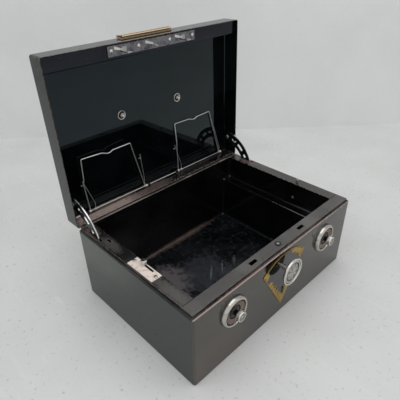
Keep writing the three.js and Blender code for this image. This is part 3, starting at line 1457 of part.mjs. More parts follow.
function bellHammer() {
  const headY = BELL_Y + BELL_RADIUS + HAMMER_GAP + HAMMER_HEAD_RADIUS;
  const middle = bellFace - SHEET - SEAT - HAMMER_THICK / 2 - 4;
  const xs = [middle - HAMMER_THICK / 2, middle + HAMMER_THICK / 2];
  const arm = outline([
    [headY, bellZ - 1.5],
    [HAMMER_Y, hammerZ - 3],
    [HAMMER_Y + HAMMER_TAIL, hammerZ + 4],
    [HAMMER_Y + HAMMER_TAIL, hammerZ + 7],
    [HAMMER_Y, hammerZ + 3],
    [headY, bellZ + 1.5],
  ]);
  const hub = rod('x', HAMMER_PIVOT_RADIUS + 2.4, ...xs, [0, HAMMER_Y, hammerZ], 16);
  const head = rod('x', HAMMER_HEAD_RADIUS, xs[0] - 1, xs[1] + 1, [0, headY, bellZ], 14);
  const bore = rod('x', HAMMER_PIVOT_RADIUS + RUNNING, xs[0] - 1, xs[1] + 1, [0, HAMMER_Y, hammerZ], 12);
  return cut(joined(extruded(arm, ...xs, 'x'), hub, head), bore);
}
addMesh(box, 'bell_bracket', bellBracket(), 'steel');
addMesh(box, 'bell_gong', bellGong(), 'brass');
addMesh(box, 'bell_hammer', bellHammer(), 'steel');

export default box;
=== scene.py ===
import json
import math

import bmesh
import bpy
import numpy as np
from mathutils import Matrix, Vector

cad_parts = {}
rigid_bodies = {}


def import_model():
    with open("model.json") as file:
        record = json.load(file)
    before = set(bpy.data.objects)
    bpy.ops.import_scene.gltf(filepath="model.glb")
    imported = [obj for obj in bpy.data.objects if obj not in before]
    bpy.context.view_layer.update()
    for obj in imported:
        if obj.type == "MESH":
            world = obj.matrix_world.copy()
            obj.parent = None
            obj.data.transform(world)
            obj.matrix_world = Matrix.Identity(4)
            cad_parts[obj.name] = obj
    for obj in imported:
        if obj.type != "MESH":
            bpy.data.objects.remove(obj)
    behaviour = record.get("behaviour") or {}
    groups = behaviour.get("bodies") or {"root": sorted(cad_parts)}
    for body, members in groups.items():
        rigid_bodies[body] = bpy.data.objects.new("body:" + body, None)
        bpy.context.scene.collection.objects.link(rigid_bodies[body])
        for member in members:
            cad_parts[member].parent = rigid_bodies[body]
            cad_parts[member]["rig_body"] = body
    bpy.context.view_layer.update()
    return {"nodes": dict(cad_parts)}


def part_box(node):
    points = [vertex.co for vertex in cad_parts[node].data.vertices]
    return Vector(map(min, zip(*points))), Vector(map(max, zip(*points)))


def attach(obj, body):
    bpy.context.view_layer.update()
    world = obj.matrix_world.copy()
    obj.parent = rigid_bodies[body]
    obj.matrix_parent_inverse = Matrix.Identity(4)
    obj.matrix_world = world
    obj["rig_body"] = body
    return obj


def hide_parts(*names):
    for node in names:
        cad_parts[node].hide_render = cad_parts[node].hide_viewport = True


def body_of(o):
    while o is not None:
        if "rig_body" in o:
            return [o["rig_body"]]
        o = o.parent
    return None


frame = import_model()

# Room: a pale power-floated concrete floor and a pale plastered wall a little way behind.
# The light is a large soft panel overhead and a grey sky, so that no shadow has a hard edge.


def linear(code):
    """sRGB hex to linear: c / 12.92 up to 0.04045, then ((c + 0.055) / 1.055) ** 2.4."""
    parts = np.array([int(code[i : i + 2], 16) for i in (1, 3, 5)]) / 255
    curve = np.where(parts <= 0.04045, parts / 12.92, ((parts + 0.055) / 1.055) ** 2.4)
    return (*curve, 1.0)


def wire(tree, node, values):
    """Each value sets a property or a socket of the node. A node or an output links to the
    socket instead, a node by its first output in use, and a hex code becomes a colour."""
    for name, value in values.items():
        if isinstance(name, str) and hasattr(node, name):
            setattr(node, name, value)
            continue
        if isinstance(value, bpy.types.Node):
            value = next(output for output in value.outputs if output.enabled)
        if isinstance(value, bpy.types.NodeSocket):
            tree.links.new(value, node.inputs[name])
        else:
            node.inputs[name].default_value = linear(value) if isinstance(value, str) else value
    return node


def add_node(tree, kind, values):
    """Adds a shader node of that kind with its settings and links."""
    return wire(tree, tree.nodes.new("ShaderNode" + kind), values)


def new_finish(name, **sockets):
    """A material with its tree, its one principled shader and its object coordinates."""
    finish = bpy.data.materials.new(name)
    finish.use_nodes = True
    tree = finish.node_tree
    shader = tree.nodes["Principled BSDF"]
    wire(tree, shader, {socket.replace("_", " "): value for socket, value in sockets.items()})
    return finish, tree, shader, add_node(tree, "TexCoord", {}).outputs["Object"]


def blotched(tree, place, size_mm, detail, low, high, most, under, over):
    """Lays a second colour over the first in blotches of that size. It starts where their
    noise passes the low value, and is strongest where it passes the high one."""
    noise = {"Vector": place, "Scale": 1000 / size_mm, "Detail": detail}
    limits = {"Value": add_node(tree, "TexNoise", noise), "From Min": low, "From Max": high}
    share = add_node(tree, "MapRange", {**limits, "To Max": most})
    return add_node(tree, "Mix", {"data_type": "RGBA", 0: share, 6: under, 7: over})


def cement(name, pale, dark, pits):
    """Floated cement: cloudy patches a hand wide, fine trowel marks 12 mm apart, and pits."""
    finish, tree, shader, place = new_finish(name, Base_Color=pale, Roughness=0.8)
    tint = blotched(tree, place, 220, 5, 0.35, 0.7, 1, pale, dark)
    strokes = add_node(tree, "Mapping", {"Vector": place, "Scale": (1, 0.12, 1)})
    tint = blotched(tree, strokes, 12, 4, 0.6, 0.75, 0.4, tint, "#e6e6e4")
    tint = blotched(tree, place, 7, 3, 0.62, 0.76, pits, tint, "#8e8e8c")
    wire(tree, shader, {"Base Color": tint})
    return finish


FLOOR_HALF = 6.0
WALL_DISTANCE = 0.705
WALL_HEIGHT = 4.0
WALL_NORMAL = Vector((0.654, 0.7564, 0))


def room_sheet(name, corners, finish):
    """One four-cornered sheet of the room."""
    mesh = bpy.data.meshes.new(name)
    mesh.from_pydata([tuple(corner) for corner in corners], [], [range(4)])
    mesh.materials.append(finish)
    sheet = bpy.data.objects.new(name, mesh)
    bpy.context.scene.collection.objects.link(sheet)


quarters = ((-1, -1), (1, -1), (1, 1), (-1, 1))
floor_corners = [Vector((x, y, -0.0002 / FLOOR_HALF)) * FLOOR_HALF for x, y in quarters]
room_sheet("floor", floor_corners, cement("floated_concrete", "#dcdcda", "#d2d2d0", 0.5))
foot = WALL_NORMAL * WALL_DISTANCE
along = Vector((-WALL_NORMAL.y, WALL_NORMAL.x, 0)) * FLOOR_HALF
top = Vector((0, 0, WALL_HEIGHT))
wall_corners = [foot - along, foot + along, foot + along + top, foot - along + top]
room_sheet("wall", wall_corners, cement("plaster", "#e4e4e3", "#dcdcdb", 0.1))

panel = bpy.data.lights.new("soft_panel", "AREA")
panel.shape = "RECTANGLE"
panel.size = 1.6
panel.size_y = 1.6
panel.energy = 9
lamp = bpy.data.objects.new("soft_panel", panel)
lamp.location = (-0.1, -0.2, 1.75)
bpy.context.scene.collection.objects.link(lamp)

sky = bpy.data.worlds.new("sky")
sky.use_nodes = True
wire(sky.node_tree, sky.node_tree.nodes["Background"], {"Color": "#e4e6e8", "Strength": 1.0})
bpy.context.scene.world = sky

# The camera stands beyond the front left corner and looks down into the open box.
CAMERA_PLACE = Vector((-0.43742, -0.40357, 0.54712))
CAMERA_FORWARD = Vector((0.58580, 0.60756, -0.53639))
CAMERA_RIGHT = Vector((0.71273, -0.70126, -0.01593))
FOCAL_SHARE = 1.02198
SENSOR = 36
lens = bpy.data.cameras.new("camera")
lens.sensor_width = SENSOR
lens.lens = SENSOR * FOCAL_SHARE
camera = bpy.data.objects.new("camera", lens)
axes = Matrix((CAMERA_RIGHT, CAMERA_RIGHT.cross(CAMERA_FORWARD), -CAMERA_FORWARD)).transposed()
camera.matrix_world = Matrix.Translation(CAMERA_PLACE) @ axes.to_4x4()
bpy.context.scene.collection.objects.link(camera)
bpy.context.scene.camera = camera
bpy.context.scene.view_settings.view_transform = "Standard"

# Case: four walls and a base folded from one steel sheet, with a flange turned in round the
# mouth. Black lacquer is sprayed on in many thin coats and rubbed until it mirrors the room.


def bent_line(corners, bends, steps=5, ease=0.5):
    """Straight runs joined by arcs: at each corner the arc of the bend touches both runs, and
    one more point stands on each run just before it, which keeps the run's shading flat."""
    corners = np.asarray(corners, float)
    bends = np.broadcast_to(bends, len(corners) - 2)
    line = [corners[:1]]
    for before, corner, after, bend in zip(corners, corners[1:], corners[2:], bends):
        into, out = before - corner, after - corner
        into_length, out_length = np.linalg.norm(into), np.linalg.norm(out)
        into, out = into / into_length, out / out_length
        half = np.arccos(np.clip(into @ out, -1, 1)) / 2
        if half > 1.56:
            line.append(corner[None])
            continue
        reach = min(bend / np.tan(half), 0.48 * into_length, 0.48 * out_length)
        bend = reach * np.tan(half)
        centre = corner + (into + out) / np.linalg.norm(into + out) * bend / np.sin(half)
        start, end = corner + into * reach - centre, corner + out * reach - centre
        sweep = math.pi - 2 * half
        share = np.linspace(0, 1, steps + 1)[:, None]
        arc = (np.sin((1 - share) * sweep) * start + np.sin(share * sweep) * end) / np.sin(sweep)
        line.append((corner + into * min(reach + ease, 0.5 * into_length))[None])
        line.append(centre + arc)
        line.append((corner + out * min(reach + ease, 0.5 * out_length))[None])
    line.append(corners[-1:])
    return np.concatenate(line)


def rounded_rings(lows, highs, bends, steps=6, ease=0.6):
    """Rings round rectangles: a quarter arc of the bend at each corner, and one more point a
    little way along each side, which keeps the side's shading flat."""
    lows, highs = np.broadcast_arrays(np.atleast_2d(lows), np.atleast_2d(highs))
    bends = np.broadcast_to(bends, len(lows))[:, None]
    middle, core = (lows + highs) / 2, (highs - lows) / 2 - bends
    angles = np.linspace(0, math.pi / 2, steps + 1)
    rings = []
    for quarter, (right, front) in enumerate(((1, 1), (-1, 1), (-1, -1), (1, -1))):
        turn = angles + quarter * math.pi / 2
        x = right * core[:, :1] + bends * np.cos(turn)
        y = front * core[:, 1:] + bends * np.sin(turn)
        arc = np.stack([x, y], -1)
        onward = np.stack([-np.sin(turn), np.cos(turn)], -1) * ease
        rings += [arc[:, :1] - onward[0], arc, arc[:, -1:] + onward[-1]]
    return np.concatenate(rings, 1) + middle[:, None]


def grid_faces(rows, columns, wrap_rows, wrap_columns):
    """The four corners of every cell of a grid whose points are numbered row by row."""
    r = np.arange(rows if wrap_rows else rows - 1)[:, None]
    c = np.arange(columns if wrap_columns else columns - 1)[None, :]
    up, right = (r + 1) % rows, (c + 1) % columns
    cells = [r * columns + c, r * columns + right, up * columns + right, up * columns + c]
    return np.stack(np.broadcast_arrays(*cells), -1).reshape(-1, 4)


def tube(points):
    """A grid whose rows close on themselves, with a flat face at each end."""
    return points, False, True, True


def values_of(parts, name, kind=np.float32, width=1):
    """One value, or one row of the width, for every point, edge, face or corner of a mesh."""
    values = np.empty(len(parts) * width, kind)
    parts.foreach_get(name, values)
    return values.reshape(-1, width) if width > 1 else values


MM = 0.001
FACE_VALUES = ("normal", "center")


def note_bends(mesh):
    """Keeps on each point its sharpest outward edge: the angle between the edge's two faces
    over 0.3 radians, at most 1, and 0 where the second face rises above the first."""
    edges = values_of(mesh.loops, "edge_index", int)
    totals = values_of(mesh.polygons, "loop_total", int)
    owner = np.repeat(np.arange(len(totals)), totals)[np.argsort(edges, kind="stable")]
    counts = np.bincount(edges, minlength=len(mesh.edges))
    paired = counts == 2
    start = (np.cumsum(counts) - counts)[paired]
    normals, centres = (values_of(mesh.polygons, name, width=3) for name in FACE_VALUES)
    one, two = owner[start], owner[start + 1]
    angle = np.arccos(np.clip((normals[one] * normals[two]).sum(1), -1, 1))
    falls = ((centres[two] - centres[one]) * normals[one]).sum(1) < 0
    bends = np.where(falls, np.minimum(angle / 0.3, 1), 0)
    ends = values_of(mesh.edges, "vertices", int, 2)
    values = np.zeros(len(mesh.vertices))
    np.maximum.at(values, ends[paired], bends[:, None])
    mesh.attributes.new("bend", "FLOAT", "POINT").data.foreach_set("value", values)


def place_mesh(name, mesh, body, finish, stands_for, sharp):
    """Puts a finished mesh into the scene on its body, with smooth faces and sharp edges."""
    mesh.shade_smooth()
    mesh.set_sharp_from_angle(angle=math.radians(sharp))
    mesh.materials.clear()
    mesh.materials.append(finish)
    piece = bpy.data.objects.new(name, mesh)
    bpy.context.scene.collection.objects.link(piece)
    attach(piece, body)
    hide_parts(*stands_for)
    return piece


WELD = 0.003 * MM


def surface_piece(name, grids, body, finish, stands_for=(), sharp=35):
    """One mesh from grids of points in millimetres, each (points, wrap rows, wrap columns,
    capped). Doubles are merged, which closes seams and poles, and faces are turned out."""
    points, faces, start = [], [], 0
    for grid, wrap_rows, wrap_columns, capped in grids:
        rows, columns = grid.shape[:2]
        points.append(grid.reshape(-1, 3) * MM)
        faces += (grid_faces(rows, columns, wrap_rows, wrap_columns) + start).tolist()
        if capped:
            faces.append((start + np.arange(columns)).tolist())
            faces.append((start + rows * columns - 1 - np.arange(columns)).tolist())
        start += rows * columns
    mesh = bpy.data.meshes.new(name)
    mesh.from_pydata(np.concatenate(points), [], faces)
    work = bmesh.new()
    work.from_mesh(mesh)
    bmesh.ops.remove_doubles(work, verts=work.verts, dist=WELD)
    bmesh.ops.dissolve_degenerate(work, edges=work.edges, dist=0.001 * MM)
    bmesh.ops.recalc_face_normals(work, faces=work.faces)
    work.to_mesh(mesh)
    work.free()
    note_bends(mesh)
    return place_mesh(name, mesh, body, finish, stands_for, sharp)


def face_centres(mesh):
    """The centre of every face, in millimetres."""
    return values_of(mesh.polygons, "center", width=3) / MM


def add_finish(piece, finish, chosen):
    """Gives the chosen faces one more finish."""
    indices = values_of(piece.data.polygons, "material_index", np.int32)
    indices[chosen] = len(piece.data.materials)
    piece.data.materials.append(finish)
    piece.data.polygons.foreach_set("material_index", indices)


def corners_of(node):
    """The lowest and highest corners of a frame node, in millimetres."""
    return [np.array(corner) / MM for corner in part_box(node)]


BLACK = "#040506"
DUST = "#5b5752"
PRIMER = "#6f5648"


def lacquer(
    name, ior, tint="#ffffff", gloss=0.05, film=DUST, dust=0.05, mottle=0.0, scuffs=0.0,
    wear=0.5, primer=PRIMER, stains_and_painted_light=(), spot_mm=4,
):
    """Black nitrocellulose lacquer on steel. It mirrors like dark glass, with an orange peel
    of 2 mm, a dry film of dust in clouds of 60 mm and smaller spots, hairline scuffs, patches
    (centre, reach, colour, strength, a turn about z if any) in millimetres, and primer
    showing at worn edges. The patches are stained ones, except where a call paints light."""
    finish, tree, shader, place = new_finish(name, Base_Color=BLACK, IOR=ior, Specular_Tint=tint)
    clouds = add_node(tree, "TexNoise", {"Vector": place, "Scale": 1000 / 60, "Detail": 6})
    veil = {"Value": clouds, "From Min": 0.42, "From Max": 0.72, "To Max": dust}
    cover = add_node(tree, "MapRange", veil)
    spots = add_node(tree, "TexNoise", {"Vector": place, "Scale": 1000 / spot_mm, "Detail": 4})
    if mottle:
        blots = {"Value": spots, "From Min": 0.48, "From Max": 0.72, "To Max": mottle}
        spotted = add_node(tree, "MapRange", blots)
        cover = add_node(tree, "Math", {"operation": "ADD", 0: cover, 1: spotted})
    colour = add_node(tree, "Mix", {"data_type": "RGBA", 0: cover, 6: BLACK, 7: film})
    if scuffs:
        across = add_node(tree, "Mapping", {"Vector": place, "Scale": (0.07, 1, 1)})
        colour = blotched(tree, across, 4, 3, 0.62, 0.8, scuffs, colour, "#8d8a89")
    rough = add_node(tree, "Math", {"operation": "MULTIPLY_ADD", 0: cover, 1: 0.6, 2: gloss})
    for centre, reach, stain, strength, *turn in stains_and_painted_light:
        away = {"operation": "SUBTRACT", 0: place, 1: Vector(centre) * MM}
        offset = add_node(tree, "VectorMath", away)
        if turn:
            turned_back = {"rotation_type": "Z_AXIS", "Vector": offset, "Angle": -turn[0]}
            offset = add_node(tree, "VectorRotate", turned_back)
        shape = {"operation": "DIVIDE", 0: offset, 1: Vector(reach) * MM}
        inside = add_node(tree, "VectorMath", shape)
        share = add_node(tree, "VectorMath", {"operation": "LENGTH", 0: inside})
        fade = {"Value": share.outputs["Value"], "From Min": 1, "From Max": 0.3, "To Max": 1.2}
        patchy = {"operation": "MULTIPLY", 0: add_node(tree, "MapRange", fade), 1: spots}
        depth = {"Value": add_node(tree, "Math", patchy), "From Min": 0.2, "From Max": 0.55}
        patch_strength = add_node(tree, "MapRange", {**depth, "To Max": strength})
        colour = add_node(tree, "Mix", {"data_type": "RGBA", 0: patch_strength, 6: colour, 7: stain})
        soft = {"operation": "MULTIPLY_ADD", 0: patch_strength, 1: 0.3, 2: rough}
        rough = add_node(tree, "Math", soft)
    bend = add_node(tree, "Attribute", {"attribute_name": "bend"}).outputs["Fac"]
    chips = add_node(tree, "TexNoise", {"Vector": place, "Scale": 1000 / 3, "Detail": 5})
    chipped = add_node(tree, "Math", {"operation": "MULTIPLY", 0: bend, 1: chips})
    edge = {"Value": chipped, "From Min": 0.72 - 0.3 * wear, "From Max": 0.77 - 0.3 * wear}
    worn = add_node(tree, "MapRange", edge)
    colour = add_node(tree, "Mix", {"data_type": "RGBA", 0: worn, 6: colour, 7: primer})
    rough = add_node(tree, "Math", {"operation": "MULTIPLY_ADD", 0: worn, 1: 0.25, 2: rough})
    peel = add_node(tree, "TexNoise", {"Vector": place, "Scale": 1000 / 2.2, "Detail": 2})
    bump = add_node(tree, "Bump", {"Strength": 0.6, "Distance": 0.004 * MM, "Height": peel})
    wire(tree, shader, {"Base Color": colour, "Roughness": rough, "Normal": bump})
    return finish


side_lacquer = lacquer(
    "rubbed_black_lacquer", 1.55, "#eafff4", 0.05, dust=0.03, wear=0.8,
    # The pale patch over the top of the side, strongest towards the back, is a painted reflection: it
    # makes the side lighter at the top than lower down.
    stains_and_painted_light=[((-200, 110, 135), (30, 190, 95), "#9aa092", 0.13)],
)
front_lacquer = lacquer(
    "rubbed_front_lacquer", 1.88, "#fff9ee", 0.06, "#6a5a52", 0.06, wear=1.4, primer="#9c8882",
    stains_and_painted_light=[((-150, -139, 30), (110, 20, 70), "#7a5c54", 0.16)],
)
ledge_lacquer = lacquer(
    "dusty_ledge_lacquer", 1.5, gloss=0.4, film="#4a4846", dust=0.7, mottle=0.3, wear=0.2,
    stains_and_painted_light=[((-40, -138, 138), (260, 5, 6), "#6d5955", 0.85)],
)
SHEET = 1.2
CORNER_BEND = 4
FLANGE = 7
BACK_FLANGE = 3.5
BASE_CAP = 12
case_low, case_high = corners_of("body_shell")
case_top = case_high[2]
case_section = bent_line(
    [
        (BASE_CAP, 0), (0, 0), (0, case_top), (FLANGE, case_top), (FLANGE, case_top - SHEET),
        (SHEET, case_top - SHEET), (SHEET, SHEET), (BASE_CAP, SHEET),
    ],
    [1.6, 1.6, 0.4, 0.4, 0.8, 0.4],
)
inset, rise = case_section[:, :1], case_section[:, 1:]
back_inset = np.where(rise > case_top / 2, np.minimum(inset, BACK_FLANGE), inset)
case_rings = rounded_rings(
    case_low[:2] + inset,
    case_high[:2] - np.concatenate([inset, back_inset], 1),
    np.maximum(CORNER_BEND - inset[:, 0], 0.3),
)
heights = np.broadcast_to(rise[:, None], (*case_rings.shape[:2], 1))
case_points = np.concatenate([case_rings, heights], 2)
case_skin = surface_piece(
    "case_skin", [tube(case_points)], "case", side_lacquer,
    ["body_shell"],
)
is_front = face_centres(case_skin.data)[:, 1] < case_low[1] + CORNER_BEND * 0.7
add_finish(case_skin, front_lacquer, is_front)
case_spots = np.abs(face_centres(case_skin.data))
is_outer = (case_spots[:, 0] > case_high[0] - 1) | (case_spots[:, 1] > case_high[1] - 0.8)
add_finish(case_skin, ledge_lacquer, (case_spots[:, 2] > case_top - 0.1) & ~is_outer)


def point_places(mesh):
    """Every point of a mesh, in millimetres."""
    return values_of(mesh.vertices, "co", width=3) / MM


# Hands have rubbed the lacquer off the front's upper edge, most of all near its left end.
RUBBED_IN = 1.3
RUBBED_DOWN = 1.9
spots = point_places(case_skin.data)
at_front = (spots[:, 1] < case_low[1] + RUBBED_IN) & (spots[:, 2] > case_top - RUBBED_DOWN)
rubbed = np.where(at_front, 1 - 0.3 * (spots[:, 0] - case_low[0]) / np.ptp(spots[:, 0]), 0)
case_skin.data.attributes["bend"].data.foreach_set("value", rubbed)

# Inner box: a tray of thinner sheet that hangs in the case, with softly pressed corners and a
# step along its right side that carries a coin tray. Its black enamel is dusty and scuffed.

STEP_WIDTH = 20
STEP_HEIGHT = 95
LEDGE_HALF = 112
LINER_SHEET = 1
FLOOR_BEND = 6
SCUFF_TURN = math.radians(42)
wall_enamel = lacquer(
    "black_box_enamel", 1.45, gloss=0.1, film="#4a4548", dust=0.06, mottle=0.05, wear=1.4,
    primer="#565c5e", scuffs=0.04,
    stains_and_painted_light=[((-120, 120, 60), (90, 40, 70), "#3a3232", 0.2)],
)
floor_enamel = lacquer(
    "dusty_floor_enamel", 1.45, gloss=0.2, film="#4c5058", dust=0.1, mottle=0.14, scuffs=0.08,
    wear=0.1, spot_mm=9,
    stains_and_painted_light=[
        ((-85, 50, 2), (62, 74, 20), "#6b6366", 0.8),
        ((-20, 20, 2), (90, 80, 20), "#3c3d44", 0.5),
        ((-10, 12, 2), (30, 3.4, 20), "#75757a", 0.45, SCUFF_TURN),
        ((18, 9, 2), (28, 3, 20), "#6e6e74", 0.45, SCUFF_TURN),
        ((48, 4, 2), (22, 6, 20), "#5f5f66", 0.4, SCUFF_TURN),
        ((20, 130, 4), (150, 12, 12), "#54443c", 0.7),
    ],
)
liner_low, liner_high = corners_of("liner")
mouth_low, mouth_high = liner_low + LINER_SHEET, liner_high - LINER_SHEET
liner_top = liner_high[2]


def trough_section(inset):
    """The stepped cross-section, moved inwards by the inset: each bend keeps its centre."""
    left, right = mouth_low[0] + inset, mouth_high[0] - inset
    floor = mouth_low[2] + inset
    step_x, step_z = mouth_high[0] - STEP_WIDTH - inset, STEP_HEIGHT + inset
    line = [
        (left, liner_top), (left, floor), (step_x, floor), (step_x, step_z), (right, step_z),
        (right, liner_top),
    ]
    inner_bend = max(FLOOR_BEND - inset, 0.2)
    return bent_line(line, [inner_bend, inner_bend, 2 + inset, max(4 - inset, 0.2)])


quarter = np.linspace(0, math.pi / 2, 7)
end_insets = np.concatenate([FLOOR_BEND * (1 - np.sin(quarter)), [0]])
end_reach = np.concatenate([FLOOR_BEND * (1 - np.cos(quarter)), [FLOOR_BEND + 1]])
end_insets = np.concatenate([[FLOOR_BEND + 1], end_insets])
end_reach = np.concatenate([[0], end_reach])
stations = [(inset, mouth_low[1] + reach) for inset, reach in zip(end_insets, end_reach)]
stations += [(inset, mouth_high[1] - reach) for inset, reach in zip(end_insets, end_reach)][::-1]
trough = np.array([[(x, y, z) for x, z in trough_section(inset)] for inset, y in stations])
inner_box = surface_piece(
    "inner_box", [(trough, False, False, True)], "case", wall_enamel, ["liner"]
)
add_finish(inner_box, floor_enamel, face_centres(inner_box.data)[:, 2] < FLOOR_BEND + 2)
spots = point_places(inner_box.data)
on_ledge = (np.abs(spots[:, 2] - STEP_HEIGHT) < 1.2) & (np.abs(spots[:, 1]) < LEDGE_HALF)
edge_of_ledge = on_ledge & (np.abs(spots[:, 0] - mouth_high[0] + STEP_WIDTH) < 1.4)
inner_box.data.attributes["bend"].data.foreach_set("value", edge_of_ledge.astype(float))


def thickened(piece, thickness, towards):
    """Gives an open sheet its thickness, away from the point that its faces look towards. Its
    border is sharp, so that the cut edge does not tip the shading of the flat walls."""
    mesh = piece.data
    normals, centres = (values_of(mesh.polygons, name, width=3) for name in FACE_VALUES)
    if ((np.array(towards) * MM - centres) * normals).sum() < 0:
        mesh.flip_normals()
    edges = values_of(mesh.loops, "edge_index", int)
    sharp = values_of(mesh.edges, "use_edge_sharp", bool)
    border = np.bincount(edges, minlength=len(mesh.edges)) == 1
    mesh.edges.foreach_set("use_edge_sharp", sharp | border)
    solid = piece.modifiers.new("sheet", "SOLIDIFY")
    solid.thickness = thickness * MM
    solid.offset = -1
    solid.use_even_offset = True


thickened(inner_box, LINER_SHEET, (0, 0, liner_top))

# The tray's pressed corners, where three bends meet, are drawn dark.
# This matt black is dirt in the rims' joints, darkens the tray's pressed corners, and is painted shade
# in the strike plate's slots and in the gap under the ear nuts.
soot_and_painted_shade = lacquer("dark_joint_dirt_and_painted_shade", 1.3, gloss=0.5, dust=0.0, wear=0.0)
LARGEST_CREASE = 0.35 * MM * MM
areas = values_of(inner_box.data.polygons, "area")
add_finish(inner_box, soot_and_painted_shade, areas < LARGEST_CREASE)

# Rims: four folded strips that stand on the case's flange and cap the inner box. They have
# the same lacquer, rubbed dull by hands, with brown wear along the folded edges.


def body_name(node):
    """The body that a frame node rides on."""
    return body_of(frame["nodes"][node])[0]


def softened(name, node, width, finish, segments=2, least=25):
    """A copy of a frame node with its edges over the least angle rounded off to the width.
    Doubles are merged and flat faces joined first, and flat faces keep their flat shading."""
    work = bmesh.new()
    work.from_mesh(frame["nodes"][node].data)
    bmesh.ops.remove_doubles(work, verts=work.verts, dist=WELD)
    bmesh.ops.dissolve_limit(
        work, angle_limit=math.radians(1), verts=work.verts, edges=work.edges
    )
    bend = work.faces.layers.float.new("bend")
    folds = [edge for edge in work.edges if edge.calc_face_angle(0) > math.radians(least)]
    rounded = bmesh.ops.bevel(
        work,
        geom=folds,
        offset=width * MM,
        offset_type="OFFSET",
        segments=segments,
        profile=0.5,
        affect="EDGES",
        clamp_overlap=True,
    )
    for face in rounded["faces"]:
        face[bend] = 1
    mesh = bpy.data.meshes.new(name)
    work.to_mesh(mesh)
    work.free()
    piece = place_mesh(name, mesh, body_name(node), finish, [node], 50)
    shading = piece.modifiers.new("flat_faces", "WEIGHTED_NORMAL")
    shading.keep_sharp = True
    return piece


BROWN = "#6a5246"
rim_lacquer = lacquer(
    "handled_black_lacquer", 1.95, "#fffaf6", 0.24, "#6b6663", 0.16, wear=0.7, primer="#7d6a60",
    stains_and_painted_light=[
        ((-188, 112, 142), (14, 26, 8), BROWN, 0.8),
        ((-186, 60, 142), (14, 40, 8), "#4a4340", 0.6),
        ((186, 96, 142), (14, 26, 8), BROWN, 0.6),
        ((-186, -80, 142), (14, 60, 8), "#5e5955", 0.4),
    ],
)
back_rim_lacquer = lacquer(
    "worn_back_lacquer", 1.8, "#fff8f2", 0.3, "#6b625e", 0.4, wear=1.0, primer="#8d827c",
    stains_and_painted_light=[
        ((-110, 136, 141), (95, 12, 9), "#857a75", 0.9),
        ((51, 136, 141), (17, 12, 9), "#8d827c", 0.9),
        ((152, 136, 141), (18, 12, 9), "#857a75", 0.9),
    ],
)
front_rim_lacquer = lacquer(
    "hand_rubbed_front_lacquer", 2.1, "#fffaf6", 0.26, "#6f6a66", 0.4, wear=0.7, primer="#7d6a60"
)
rim_finishes = {"front": front_rim_lacquer, "back": back_rim_lacquer}
for side in ("front", "left", "right", "back"):
    rim_finish = rim_finishes.get(side, rim_lacquer)
    softened(f"rim_{side}_strip", f"rim_{side}", 0.5, rim_finish, 3)

# Old polish and dirt fill the butt joints where the side strips meet the front one.
JOINT_HALF = 0.5
JOINT_INSET = 0.6
joints = []
rim_top = corners_of("rim_front")[1][2]
joint_y = corners_of("rim_front")[1][1] + 0.15
for side in ("left", "right"):
    rim_low, rim_high = corners_of(f"rim_{side}")
    start_x, end_x = rim_low[0] + JOINT_INSET, rim_high[0] - JOINT_INSET
    start_y, end_y = joint_y - JOINT_HALF, joint_y + JOINT_HALF
    for_joint = np.array(
        [(start_x, start_y), (end_x, start_y), (end_x, end_y), (start_x, end_y)]
    )
    levels = [np.column_stack([for_joint, np.full(4, z)]) for z in (rim_top - 0.6, rim_top + 0.04)]
    joints.append(tube(np.stack(levels)))
surface_piece("rim_joint_dirt", joints, "case", soot_and_painted_shade)

# Dials: a wide nickel-plated ring, a dished copper face with raised ribs under brown lacquer,
# a black hub, and a small knurled knob on a neck that turns the face.


def hoop(points):
    """A grid that closes on itself both ways."""
    return points, True, True, False


def turned(profile, centre, axis, around=72, flutes=0, depth=0.0):
    """A surface of revolution: centre + radius (u cos t + v sin t) + height axis, for each
    profile point (radius, height). Flutes take depth (1 - cos(flutes t)) / 2 off the radius
    where the profile's third value is 1."""
    axis = np.asarray(axis, float)
    helper = np.array([0.0, 0.0, 1.0]) if abs(axis[2]) < 0.9 else np.array([0.0, 1.0, 0.0])
    across = np.cross(helper, axis)
    across /= np.linalg.norm(across)
    angles = np.linspace(0, 2 * math.pi, around, endpoint=False)
    ring = np.cos(angles)[:, None] * across + np.sin(angles)[:, None] * np.cross(axis, across)
    profile = np.asarray(profile, float)
    radius = np.repeat(profile[:, :1], around, 1)
    if flutes:
        radius = radius - profile[:, 2:] * depth * (1 - np.cos(flutes * angles)) / 2
    return centre + radius[..., None] * ring + profile[:, 1, None, None] * axis


def plated(name, colour, roughness, wear_colour, grain_mm=1.5, stain="#6b5f52", dirt=0.55):
    """Electroplated metal, buffed: fine buffing grain, stained blotches 9 mm wide, and rubbed edges.
    """
    finish, tree, shader, place = new_finish(name, Base_Color=colour, Metallic=1.0)
    tint = blotched(tree, place, 9, 6, 0.5, 0.78, dirt, colour, stain)
    bend = add_node(tree, "Attribute", {"attribute_name": "bend"}).outputs["Fac"]
    rubbed = {"Value": bend, "From Min": 0.5, "From Max": 1.0, "To Max": 0.6}
    edge = add_node(tree, "MapRange", rubbed)
    tint = add_node(tree, "Mix", {"data_type": "RGBA", 0: edge, 6: tint, 7: wear_colour})
    fine = add_node(tree, "TexNoise", {"Vector": place, "Scale": 1000 / grain_mm, "Detail": 3})
    rough = {"Value": fine, "From Min": 0.3, "From Max": 0.8, "To Min": roughness}
    spread = add_node(tree, "MapRange", {**rough, "To Max": roughness + 0.16})
    bump = add_node(tree, "Bump", {"Strength": 0.4, "Distance": 0.005 * MM, "Height": fine})
    wire(tree, shader, {"Base Color": tint, "Roughness": spread, "Normal": bump})
    return finish


